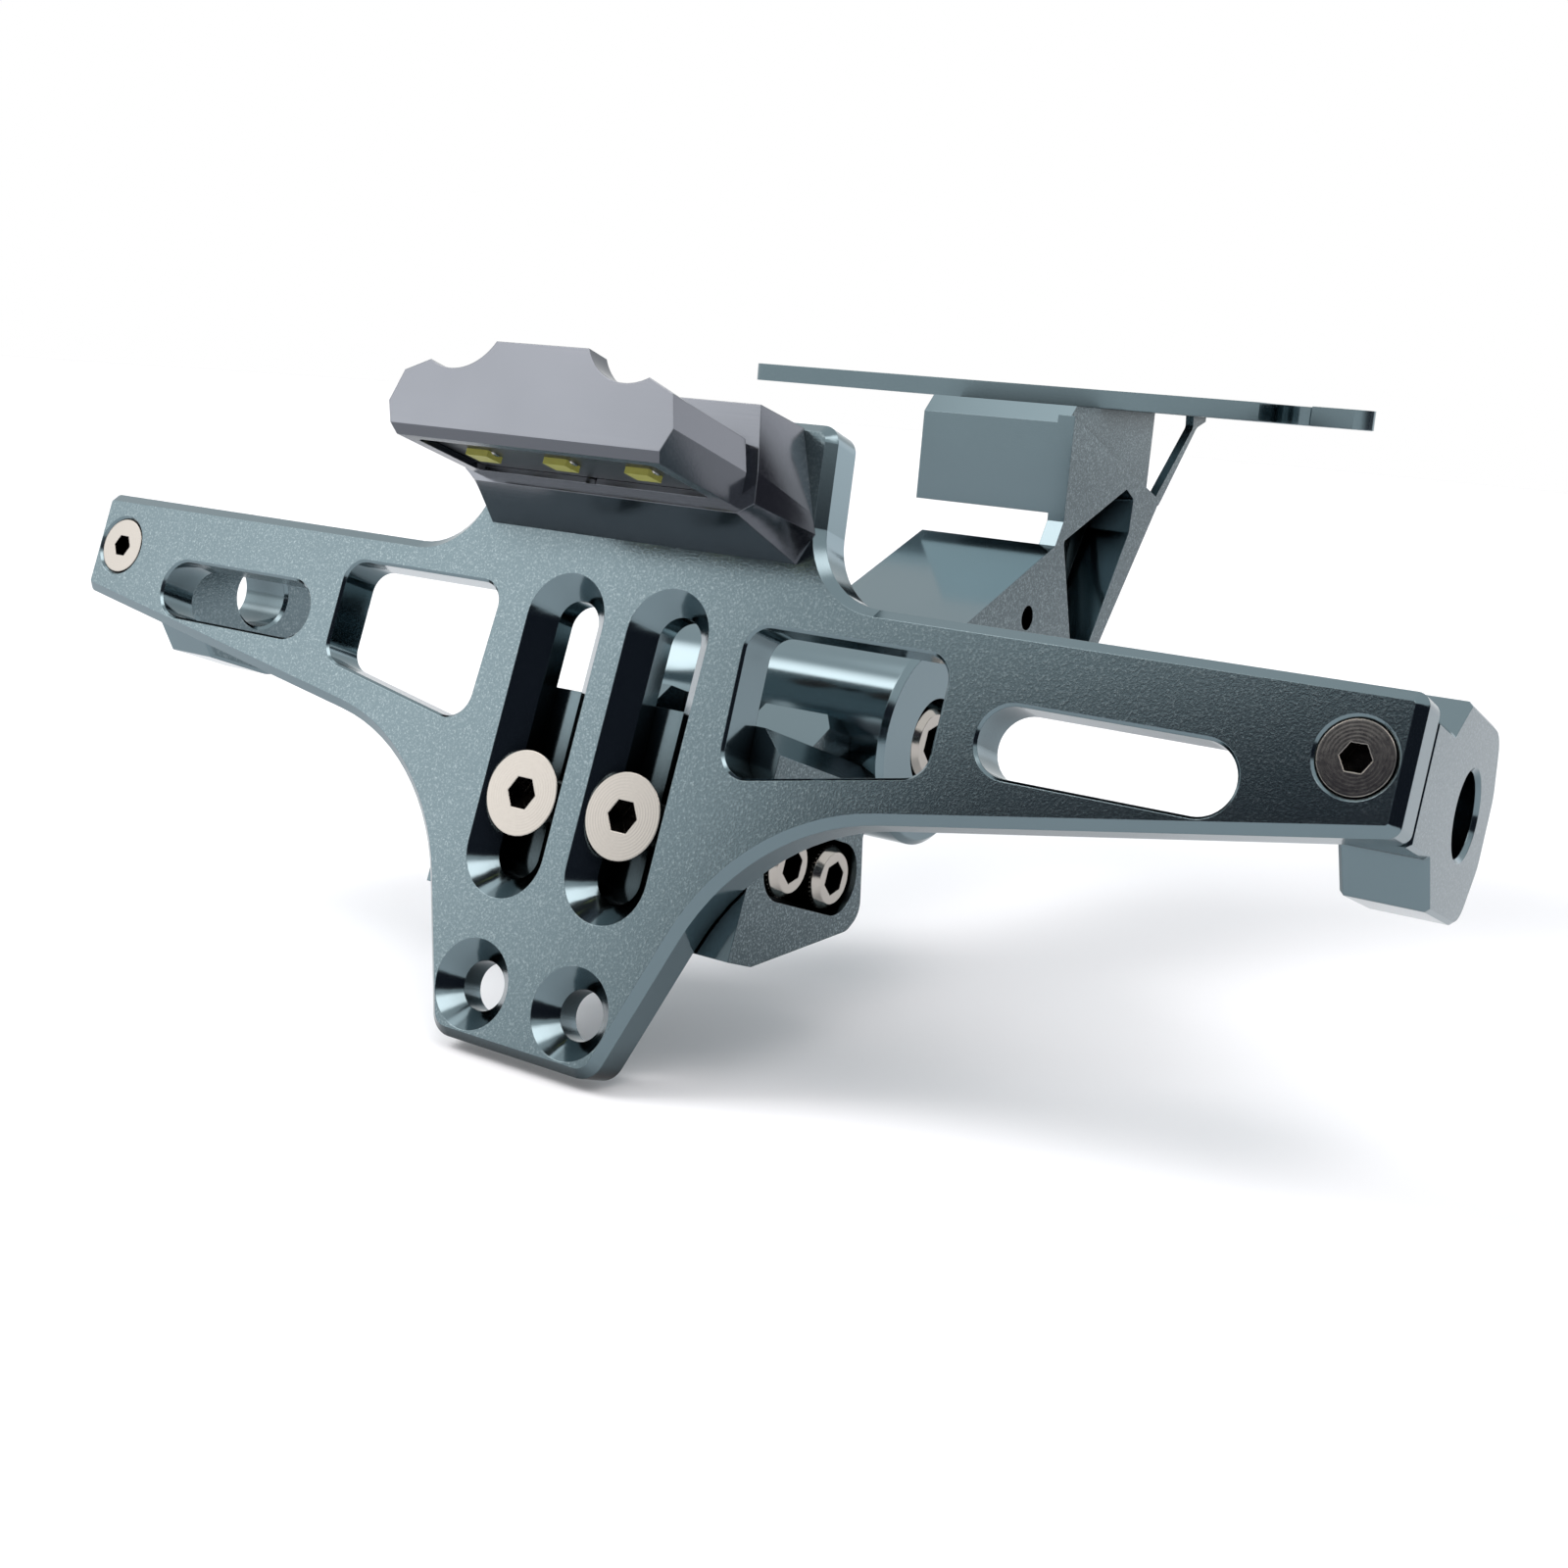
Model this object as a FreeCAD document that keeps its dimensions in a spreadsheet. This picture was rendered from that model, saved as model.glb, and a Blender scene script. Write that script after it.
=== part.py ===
# Tail tidy: an adjustable motorbike number plate bracket, milled from aluminium.
#
# The row frame stands on the mount plate: origin at the centre of its top face,
# X to the right, Y forward along the bike, Z up. The number plate bracket hangs
# behind it, at -Y, and leans. Pieces that lean with it are drawn upright, in the
# bracket's own frame, and their placement leans them.
#
# Bracket frame: X right, Y forward into the bike, Z up along the number plate.
# Its origin lies midway between the two end screws, on the bracket's rear face.
import FreeCAD, Part
import math
import os
import Sketcher
from FreeCAD import Placement, Rotation, Vector

os.makedirs("parts", exist_ok=True)
doc = FreeCAD.newDocument("tail_tidy")

# Driving dimensions, in millimetres and degrees
SIZES = {
    # mount plate, under the seat unit
    "mount_width": 118.0,
    "mount_depth": 60.0,
    "mount_thick": 3.0,
    "mount_corner": 2.5,
    "mount_front_width": 80.0,
    "fender_slot_half_pitch": 30.0,
    "fender_slot_rows": 18.0,
    "fender_slot_radius": 3.25,
    "fender_slot_length": 14.0,
    "end_slot_offset": 44.5,
    "end_slot_radius": 4.3,
    "end_slot_depth": 12.0,
    # tail arm
    "arm_width": 28.0,
    "arm_head_front": -42.0,
    "arm_head_back": -7.0,
    "arm_head_drop": 17.5,
    "arm_head_bevel": 2.8,
    "web_thick": 3.0,
    "web_proud": 1.2,
    "brace_thick": 1.5,
    "web_hip_ahead": 38.8,
    "web_hip_rise": 2.2,
    "seat_ahead": 27.0,
    "seat_drop": 12.6,
    "heel_ahead": 13.0,
    "heel_drop": 30.3,
    "belly_behind": 8.0,
    "belly_drop": 32.2,
    "pivot_behind": -99.4,
    "pivot_below": -50.9,
    "knuckle_radius": 9.5,
    "pocket_depth": 8.0,
    "rib_reach": 15.0,
    "neck_bevel": 3.0,
    "clip_hole_radius": 2.0,
    "mount_screw_inset": 5.5,
    "mount_screw_front": -24.0,
    "mount_screw_back": -13.0,
    # hinge link and its bolt
    "plate_lean": 17.4,
    "pivot_ahead": 44.4,
    "pivot_above": -1.9,
    "barrel_radius": 14.4,
    "barrel_length": 50.0,
    "knuckle_room": 0.5,
    "side_gap": 0.05,
    "counterbore_radius": 6.5,
    "counterbore_depth": 7.6,
    "tongue_width": 16.0,
    "tongue_front": 11.9,
    "tongue_top": -16.2,
    "tongue_bottom": -29.8,
    # pivot block
    "block_width": 50.0,
    "block_top": -8.0,
    "saddle_depth": 1.2,
    "block_bottom": -37.2,
    "lip_width": 40.0,
    "lip_top": -2.6,
    "clamp_ahead": 16.2,
    "clamp_below": -23.7,
    "clamp_pitch": 11.0,
    "clamp_pocket_radius": 4.9,
    "clamp_pocket_depth": 5.5,
    # number plate bracket
    "bracket_thick": 6.0,
    "bracket_half_width": 101.9,
    "bracket_bevel": 1.2,
    "fine_bevel": 0.35,
    "wing_top": 7.9,
    "wing_tip_bottom": -7.3,
    "wing_slot_inner": 57.85,
    "wing_slot_inset": 21.65,
    "wing_slot_height": -4.95,
    "wing_slot_radius": 4.17,
    "tab_half_width": 25.0,
    "tab_top": 29.5,
    "tail_half_width": 13.1,
    "tail_bottom": -55.6,
    "waist_half_width": 26.4,
    "waist_height": -20.0,
    "height_slot_offset": 8.25,
    "height_slot_top": 0.15,
    "height_slot_bottom": -30.55,
    "height_slot_radius": 3.3,
    "height_slot_mouth": 6.3,
    "height_screw_place": -22.9,
    "lower_hole_offset": 8.1,
    "lower_hole_height": -48.2,
    "lower_hole_mouth": 5.95,
    "slide_gap": 0.06,
    "end_screw_inset": 5.9,
    "end_screw_mouth": 4.6,
    # indicator brackets
    "ear_thick": 10.0,
    "ear_back": 37.6,
    "ear_top": 10.8,
    "ear_bottom": -12.6,
    "stalk_hole_radius": 5.0,
    "stalk_hole_ahead": 26.3,
    "stalk_hole_height": -0.6,
    # number plate lamp
    "lamp_base_depth": 9.5,
    "lamp_base_top": 28.6,
    "lamp_base_bottom": 11.6,
    "hood_depth": 17.2,
    "hood_half_width": 21.7,
    "hood_bottom": 15.6,
    "hood_top": 23.4,
    "hood_lip_top": 27.8,
    "hood_lip_thick": 3.5,
    "scallop_offset": 13.2,
    "scallop_height": 31.1,
    "scallop_radius": 7.0,
    "board_length": 36.0,
    "board_depth": 12.0,
    "board_thick": 1.2,
    "board_ahead": -18.0,
    "led_pitch": 12.4,
    "led_width": 3.5,
    "led_depth": 2.8,
    "led_thick": 0.8,
    "lamp_screw_offset": 7.0,
    "hood_screw_offset": 13.5,
    "lamp_screw_height": 20.5,
    "wire_hole_radius": 2.0,
    # screws, bolts and nuts
    "m6_radius": 3.0,
    "m5_radius": 2.5,
    "m5_head_radius": 4.1,
    "m4_radius": 2.0,
    "m3_radius": 1.5,
    "thread_gap": 0.05,
    "seat_gap": 0.03,
    "hole_room": 0.25,
}

sheet = doc.addObject("Spreadsheet::Sheet", "size")
for row, (name, amount) in enumerate(SIZES.items(), start=1):
    sheet.set("A%d" % row, name)
    sheet.set("B%d" % row, str(amount))
    sheet.setAlias("B%d" % row, name)
doc.recompute()

# A second sheet works out sums of sizes; nothing else refers to it
sums = doc.addObject("Spreadsheet::Sheet", "sums")


def number(amount):
    """A number as it is, or the value of an expression on the sheet."""
    if not isinstance(amount, str):
        return float(amount)
    sums.set("A1", "=" + amount)
    sums.recompute()
    return float(sums.get("A1"))


class Values:
    """The sheet's cells as plain numbers."""

    def __getattr__(self, name):
        return float(sheet.get(name))


size = Values()

# Placements of the two groups
PIVOT = Vector(0, size.pivot_behind, size.pivot_below)
LEAN = Rotation(Vector(1, 0, 0), -size.plate_lean)
BIKE_FRAME = Placement()
PIVOT_IN_BRACKET = Vector(0, size.pivot_ahead, size.pivot_above)
BRACKET_FRAME = Placement(PIVOT - LEAN.multVec(PIVOT_IN_BRACKET), LEAN)

# Directions of the third axis of each drawing plane
AHEAD = {"XY": 1, "XZ": -1, "YZ": 1}
SIDES = {"left": -1, "right": 1}


def new_body(name, frame=BIKE_FRAME):
    body = doc.addObject("PartDesign::Body", name)
    body.Label = name
    body.Placement = frame
    return body


def new_sketch(body, plane, start, name):
    """A sketch parallel to an origin plane, at a distance along its third axis."""
    sketch = body.newObject("Sketcher::SketchObject", name)
    support = [f for f in body.Origin.OriginFeatures if f.Role == plane + "_Plane"]
    sketch.AttachmentSupport = [(support[0], "")]
    sketch.MapMode = "FlatFace"
    sketch.AttachmentOffset = Placement(Vector(0, 0, AHEAD[plane] * number(start)), Rotation())
    if isinstance(start, str):
        sign = "" if AHEAD[plane] > 0 else "-1 * "
        sketch.setExpression(".AttachmentOffset.Base.z", "%s(%s)" % (sign, start))
    return sketch


def outline(*corners):
    """Draws a closed outline; each corner is x, y and, if rounded, its radius."""

    def draw(sketch):
        entries, leaves, arcs = [], [], []
        for index, corner in enumerate(corners):
            here = Vector(corner[0], corner[1], 0)
            radius = corner[2] if len(corner) > 2 else 0
            before = Vector(*corners[index - 1][:2], 0)
            after = Vector(*corners[(index + 1) % len(corners)][:2], 0)
            back = (before - here).normalize()
            ahead = (after - here).normalize()
            half = back.getAngle(ahead) / 2
            reach = radius / math.tan(half)
            middle = here + (back + ahead).normalize() * (radius / math.sin(half) - radius)
            entries.append(here + back * reach)
            leaves.append(here + ahead * reach)
            arcs.append(Part.Arc(entries[-1], middle, leaves[-1]) if radius else None)
        for index, arc in enumerate(arcs):
            if arc:
                sketch.addGeometry(arc, False)
            following = entries[(index + 1) % len(corners)]
            sketch.addGeometry(Part.LineSegment(leaves[index], following), False)

    return draw


def place_point(sketch, shape, point, x, y):
    """Ties a point to the sheet by its distances from the sketch's origin."""
    for kind, amount, axis in (("DistanceX", x, -2), ("DistanceY", y, -1)):
        if abs(number(amount)) < 1e-9:
            sketch.addConstraint(Sketcher.Constraint("PointOnObject", shape, point, axis))
            continue
        rule = sketch.addConstraint(Sketcher.Constraint(kind, -1, 1, shape, point, number(amount)))
        if isinstance(amount, str):
            sketch.setExpression("Constraints[%d]" % rule, amount)


def circle(x, y, radius):
    """Draws a circle whose place and radius may be expressions on the sheet."""

    def draw(sketch):
        middle = Vector(number(x), number(y), 0)
        ring = Part.Circle(middle, Vector(0, 0, 1), number(radius))
        shape = sketch.addGeometry(ring, False)
        place_point(sketch, shape, 3, x, y)
        rule = sketch.addConstraint(Sketcher.Constraint("Radius", shape, number(radius)))
        if isinstance(radius, str):
            sketch.setExpression("Constraints[%d]" % rule, radius)

    return draw


def slot(x1, y1, x2, y2, radius):
    """Draws a round-ended slot between two centres."""

    def draw(sketch):
        first, last, r = Vector(x1, y1, 0), Vector(x2, y2, 0), radius
        along = (last - first).normalize()
        across = Vector(-along.y, along.x, 0) * r
        sketch.addGeometry(Part.LineSegment(first - across, last - across), False)
        sketch.addGeometry(Part.Arc(last - across, last + along * r, last + across), False)
        sketch.addGeometry(Part.LineSegment(last + across, first + across), False)
        sketch.addGeometry(Part.Arc(first + across, first - along * r, first - across), False)

    return draw


def regular(x, y, across_flats, sides=6):
    """Draws a regular polygon, with a corner to the right."""
    reach = across_flats / 2 / math.cos(math.pi / sides)
    turns = [2 * math.pi * step / sides for step in range(sides)]
    return outline(*[(x + reach * math.cos(turn), y + reach * math.sin(turn)) for turn in turns])


def extrude(body, kind, name, plane, start, length, *drawings):
    """A Pad or Pocket from a start, along the plane's third axis."""
    sketch = new_sketch(body, plane, start, name + "_sketch")
    for draw in drawings:
        draw(sketch)
    before = body.Shape.Volume if kind == "Pocket" else 0
    feature = body.newObject("PartDesign::" + kind, name)
    feature.Profile = sketch
    feature.Length = number(length)
    if isinstance(length, str):
        feature.setExpression("Length", length)
    along_normal = AHEAD[plane] > 0
    feature.Reversed = along_normal if kind == "Pocket" else not along_normal
    sketch.Visibility = False
    doc.recompute()
    if kind == "Pocket" and body.Shape.Volume > before - 1e-6:
        raise RuntimeError("%s.%s cuts nothing" % (body.Label, name))
    return feature


def pad(body, name, plane, start, length, *drawings):
    return extrude(body, "Pad", name, plane, start, length, *drawings)


def pocket(body, name, plane, start, length, *drawings):
    return extrude(body, "Pocket", name, plane, start, length, *drawings)


def middle_of(edge):
    return edge.valueAt((edge.FirstParameter + edge.LastParameter) / 2)


def bevel(body, name, amount, test, older=()):
    """A chamfer on the edges whose every vertex and middle passes the test.

    Edges whose middles are in the list of older ones stay sharp.
    """
    tip = body.Tip
    edges = []
    for index, edge in enumerate(tip.Shape.Edges, start=1):
        middle = middle_of(edge)
        if any(middle.distanceToPoint(point) < 1e-4 for point in older):
            continue
        if all(test(point) for point in [middle] + [v.Point for v in edge.Vertexes]):
            edges.append("Edge%d" % index)
    if not edges:
        raise RuntimeError("%s.%s finds no edge" % (body.Label, name))
    feature = body.newObject("PartDesign::Chamfer", name)
    feature.Base = (tip, edges)
    feature.Size = number(amount)
    if isinstance(amount, str):
        feature.setExpression("Size", amount)
    doc.recompute()
    if feature.Shape.isNull() or "Invalid" in feature.State:
        raise RuntimeError("%s.%s cannot be cut" % (body.Label, name))
    return feature


def near(amount, target):
    return abs(amount - target) < 1e-4


def mouthed(body, name, level, through, amount, *drawings):
    """Holes along Y through a plate, each with a bevelled mouth at one level."""
    older = [middle_of(edge) for edge in body.Tip.Shape.Edges]
    pocket(body, name, "XZ", -1, through, *drawings)
    bevel(body, name + "_mouths", amount, lambda p: near(p.y, level), older)


def turned(body, name, *profile):
    """A solid turned about Z from radius and height pairs."""
    sketch = new_sketch(body, "XZ", 0, name + "_sketch")
    outline(*profile)(sketch)
    feature = body.newObject("PartDesign::Revolution", name)
    feature.Profile = sketch
    feature.ReferenceAxis = (sketch, ["V_Axis"])
    feature.Angle = 360
    sketch.Visibility = False
    doc.recompute()
    return feature


def pointing(frame, position, direction):
    """The placement of a screw whose head faces along a direction of a frame."""
    turn = Rotation(Vector(0, 0, 1), Vector(*direction))
    return frame.multiply(Placement(Vector(*position), turn))


HEAD_RIM = 0.25


def countersunk_screw(name, frame, position, direction, radius, head_radius, length, hex_size):
    """Origin in the middle of the head's face; the shank runs to -Z."""
    body = new_body(name, pointing(frame, position, direction))
    cone_end = -HEAD_RIM - (head_radius - radius)
    tip = 0.4
    turned(body, "turned", (0, 0), (head_radius, 0), (head_radius, -HEAD_RIM), (radius, cone_end),
           (radius, -length + tip), (radius - tip, -length), (0, -length))
    pocket(body, "socket", "XY", -0.55 * head_radius, head_radius, regular(0, 0, hex_size))
    return body


def countersunk_sink(mouth, head_radius):
    """How deep a head's face lies in a countersink of a given mouth radius."""
    return mouth - head_radius - HEAD_RIM - size.seat_gap


def cap_screw(name, frame, position, direction, radius, head_radius, head_height, length, hex_size):
    """Origin on the seat of the head; the shank runs to -Z."""
    body = new_body(name, pointing(frame, position, direction))
    edge = 0.8
    tip = 0.4
    turned(body, "turned", (0, head_height), (head_radius - edge, head_height),
           (head_radius, head_height - edge), (head_radius, 0), (radius, 0),
           (radius, -length + tip), (radius - tip, -length), (0, -length))
    pocket(body, "socket", "XY", 0.4 * head_height, head_height, regular(0, 0, hex_size))
    return body


def nut(name, frame, position, direction, radius, height, across_flats):
    """Origin on the seat; the nut stands up along Z."""
    body = new_body(name, pointing(frame, position, direction))
    pad(body, "hexagon", "XY", 0, height, regular(0, 0, across_flats))
    bore = radius + size.thread_gap
    pocket(body, "bore", "XY", -1, height + 2, circle(0, 0, bore))
    return body


def washer(name, frame, position, direction, radius, outer_radius, thickness):
    body = new_body(name, pointing(frame, position, direction))
    inner = radius + size.hole_room
    pad(body, "ring", "XY", 0, thickness, circle(0, 0, outer_radius), circle(0, 0, inner))
    return body


# Mount plate
def make_mount_plate():
    body = new_body("mount_plate")
    half, deep = size.mount_width / 2, size.mount_depth / 2
    half_front = size.mount_front_width / 2
    corner = size.mount_corner
    notch_left = size.end_slot_offset - size.end_slot_radius
    notch_right = size.end_slot_offset + size.end_slot_radius
    notch_end = -deep + size.end_slot_depth
    round_end = size.end_slot_radius - 0.01
    pad(body, "sheet", "XY", "-size.mount_thick", "size.mount_thick", outline(
        (-half, -deep, corner), (notch_left, -deep), (notch_left, notch_end, round_end),
        (notch_right, notch_end, round_end), (notch_right, -deep), (half, -deep, corner),
        (half_front, deep, 2 * corner), (-half_front, deep, 2 * corner)))
    reach = size.fender_slot_length / 2 - size.fender_slot_radius
    slots = []
    for side in SIDES.values():
        for row in (-size.fender_slot_rows, size.fender_slot_rows):
            middle = side * size.fender_slot_half_pitch
            slots.append(slot(middle - reach, row, middle + reach, row, size.fender_slot_radius))
    below = -size.mount_thick - 1
    pocket(body, "slots", "XY", below, size.mount_thick + 2, *slots)
    holes = []
    for x, y in mount_screw_places():
        holes.append(circle(x, y, "size.m5_radius + size.hole_room"))
    pocket(body, "screw_holes", "XY", below, size.mount_thick + 2, *holes)
    mouth = size.mount_thick - 0.6
    hole = size.m5_radius + size.hole_room

    def on_a_mouth(point):
        beside = [math.hypot(point.x - x, point.y - y) for x, y in mount_screw_places()]
        return near(point.z, 0) and any(near(gap, hole) for gap in beside)

    bevel(body, "countersinks", mouth, on_a_mouth)
    return body


def mount_screw_places():
    rows = (size.mount_screw_front, size.mount_screw_back)
    half_pitch = size.arm_width / 2 - size.mount_screw_inset
    return [(side * half_pitch, row) for row in rows for side in SIDES.values()]


def make_mount_screws():
    mouth = size.m5_radius + size.hole_room + size.mount_thick - 0.6
    head = size.m5_head_radius
    names = ["mount_screw_back_left", "mount_screw_back_right",
             "mount_screw_front_left", "mount_screw_front_right"]
    for name, (x, y) in zip(names, mount_screw_places()):
        place = (x, y, -countersunk_sink(mouth, head))
        countersunk_screw(name, BIKE_FRAME, place, (0, 0, 1), size.m5_radius, head, 14, 3)


# Tail arm: a head under the mount plate, a web, a brace and a neck with its knuckle
def arm_lines():
    """The arm's main corners, seen from its right side, as Y and Z."""
    head_top = -size.mount_thick
    head_bottom = head_top - size.arm_head_drop
    front = size.arm_head_front
    return {
        "head_top": head_top,
        "head_bottom": head_bottom,
        "web_top": (front, head_top - 1.6),
        "gap_front": (front, head_bottom - 1.2),
        "shoulder": (front - 2.2, head_bottom - 5.1),
        "neck_top": (size.pivot_behind + 2.4, size.pivot_below + 4.2),
        "neck_under": (size.pivot_behind + 4.4, size.pivot_below - 8.4),
        "belly": (front - size.belly_behind, head_bottom - size.belly_drop),
        "heel": (front + size.heel_ahead, head_bottom - size.heel_drop),
        "hip": (front + size.web_hip_ahead, head_bottom + size.web_hip_rise),
        "seat": (front + size.seat_ahead, head_bottom - size.seat_drop),
    }


def make_tail_arm():
    body = new_body("tail_arm")
    half = size.arm_width / 2
    at = arm_lines()
    top, bottom = at["head_top"], at["head_bottom"]
    front, back = size.arm_head_front, size.arm_head_back
    # head block
    pad(body, "head", "YZ", -half, size.arm_width - size.web_proud, outline(
        (front, bottom), (back, bottom), (back, top), (front, top)))
    bevel(body, "head_front_bevel", "size.arm_head_bevel",
          lambda p: near(p.y, front) and near(p.z, top))
    # web on the right, down to the heel
    pad(body, "web", "YZ", "size.arm_width / 2 - size.web_thick", "size.web_thick", outline(
        at["web_top"], at["hip"], at["heel"], at["belly"], at["shoulder"],
        at["gap_front"]))
    # neck and lower body
    pad(body, "neck", "YZ", "-size.arm_width / 2", "size.arm_width", outline(
        at["neck_top"], at["neck_under"], at["belly"], at["heel"], at["seat"],
        (front + 15.0, at["seat"][1]), at["shoulder"]))
    bevel(body, "neck_bevel", "size.neck_bevel",
          lambda p: near(p.x, -half) and on_line(p, at["neck_top"], at["shoulder"]))
    pad(body, "knuckle", "YZ", "-size.arm_width / 2", "size.arm_width",
        circle("size.pivot_behind", "size.pivot_below", "size.knuckle_radius"))
    # rib on the web's inner side, between the head and the lower body
    web_inner = half - size.web_thick
    rib_end = at["seat"][0] + 0.5
    pad(body, "rib", "XY", at["seat"][1] - 0.9, bottom - at["seat"][1] + 0.9, outline(
        (web_inner + 1.5, front), (web_inner + 1.5, rib_end),
        (half - size.rib_reach, rib_end)))
    # brace from the hip up to the mount plate, with its foot
    hip_y, hip_z = at["hip"]
    rise = top - hip_z
    across = size.brace_thick * math.sqrt(2)
    foot = 2.0
    pad(body, "brace", "YZ", "size.arm_width / 2 - size.brace_thick", "size.brace_thick", outline(
        (hip_y - across, hip_z + 0.6), (hip_y - 0.4, hip_z - 0.9), (hip_y + 0.6, hip_z),
        (hip_y + rise - foot, top - foot, 3.0), (hip_y + rise + foot, top - 0.8),
        (hip_y + rise + foot, top), (hip_y + rise - across - foot, top),
        (hip_y + rise - across - foot * 0.8, top - foot, 1.0)))
    # pocket in the web's outer side, which gets deeper towards its forward wall
    sections = []
    for name, across, corners in (
            ("pocket_mouth", half, [(0.8, -4.4), (23.8, 4.2), (27.2, 2.5), (26.8, -3.3),
                                    (12.6, -26.2), (9.2, -25.6)]),
            ("pocket_floor", half - size.pocket_depth, [
                (21.5, -3.4), (24.8, 2.6), (26.6, 1.8), (26.2, -3.3), (13.6, -24.2),
                (12.4, -23.8)])):
        sketch = new_sketch(body, "YZ", across, name)
        outline(*[(front + y, bottom + z, 0.6) for y, z in corners])(sketch)
        sections.append(sketch)
    hollow = body.newObject("PartDesign::SubtractiveLoft", "web_pocket")
    hollow.Profile = sections[0]
    hollow.Sections = [sections[1]]
    hollow.Ruled = True
    doc.recompute()
    # bores
    bore = size.m6_radius + size.side_gap
    pocket(body, "pivot_bore", "YZ", -half - 1, size.arm_width + 2,
           circle("size.pivot_behind", "size.pivot_below", bore))
    pocket(body, "clip_hole", "YZ", -half - 1, size.arm_width + 2,
           circle(front - 9.7, bottom - 16.5, "size.clip_hole_radius"))
    thread = size.m5_radius + size.thread_gap
    holes = [circle(x, y, thread) for x, y in mount_screw_places()]
    pocket(body, "mount_threads", "XY", top - 13, 14, *holes)
    return body


def on_line(point, first, last):
    """Whether a point lies on the line through two Y, Z pairs."""
    run, rise = last[0] - first[0], last[1] - first[1]
    off = (point.y - first[0]) * rise - (point.z - first[1]) * run
    return abs(off) / math.hypot(run, rise) < 1e-3


def block_back():
    """The block's back edge: the barrel sinks into it by the saddle's depth."""
    return size.pivot_ahead - size.barrel_radius + size.saddle_depth


# Hinge link: a barrel that holds the arm's knuckle, and a tongue into the pivot block
def make_hinge_link():
    body = new_body("hinge_link", BRACKET_FRAME)
    half = size.barrel_length / 2
    y, z = size.pivot_ahead, size.pivot_above
    back = block_back()
    pad(body, "barrel", "YZ", "-size.barrel_length / 2", "size.barrel_length",
        circle("size.pivot_ahead", "size.pivot_above", "size.barrel_radius"))
    bevel(body, "end_bevels", 0.8, lambda p: near(abs(p.x), half))
    pad(body, "tongue", "YZ", "-size.tongue_width / 2", "size.tongue_width", outline(
        (size.tongue_front, size.tongue_bottom), (back, size.tongue_bottom, 3),
        (y - 3, z - size.barrel_radius + 0.5), (y, z), (y - size.barrel_radius + 2, z - 4),
        (back - 1, size.tongue_top), (size.tongue_front, size.tongue_top)))
    room = size.knuckle_radius + size.knuckle_room
    wide = size.arm_width / 2 + size.side_gap
    edge = y - 2
    reach = size.barrel_radius + 1
    pocket(body, "knuckle_slot", "YZ", -wide, 2 * wide, circle(y, z, room))
    pocket(body, "slot_mouth", "YZ", -wide, 2 * wide, outline(
        (edge, z - reach), (y + reach, z - reach), (y + reach, z + reach), (edge, z + reach)))
    for side, start in (("left", -half - 1), ("right", half - size.counterbore_depth)):
        pocket(body, "counterbore_" + side, "YZ", start, size.counterbore_depth + 1,
               circle("size.pivot_ahead", "size.pivot_above", "size.counterbore_radius"))
    pocket(body, "bolt_bore", "YZ", -half - 1, 2 * half + 2, circle(
        "size.pivot_ahead", "size.pivot_above", "size.m6_radius + size.hole_room"))
    holes = [circle(a, b, size.m5_radius + size.hole_room) for a, b in clamp_places()]
    pocket(body, "clamp_holes", "YZ", -size.tongue_width, 2 * size.tongue_width, *holes)
    return body


def clamp_places():
    """Y and Z of the two clamp screws."""
    return [(size.clamp_ahead, size.clamp_below),
            (size.clamp_ahead + size.clamp_pitch, size.clamp_below)]


def make_pivot_fasteners():
    y, z = size.pivot_ahead, size.pivot_above
    seat = size.barrel_length / 2 - size.counterbore_depth
    washer_thick, outer = 1.6, 6.0
    grip = size.m6_radius
    for side, sign in SIDES.items():
        washer("pivot_washer_" + side, BRACKET_FRAME, (sign * seat, y, z), (sign, 0, 0),
               grip, outer, washer_thick)
    head_seat = seat + washer_thick
    cap_screw("pivot_bolt", BRACKET_FRAME, (head_seat, y, z), (1, 0, 0), grip, 5.0, 6.0,
              head_seat + size.barrel_length / 2, 5)
    nut("pivot_nut", BRACKET_FRAME, (-head_seat, y, z), (-1, 0, 0), grip, 5.0, 10.0)


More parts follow.
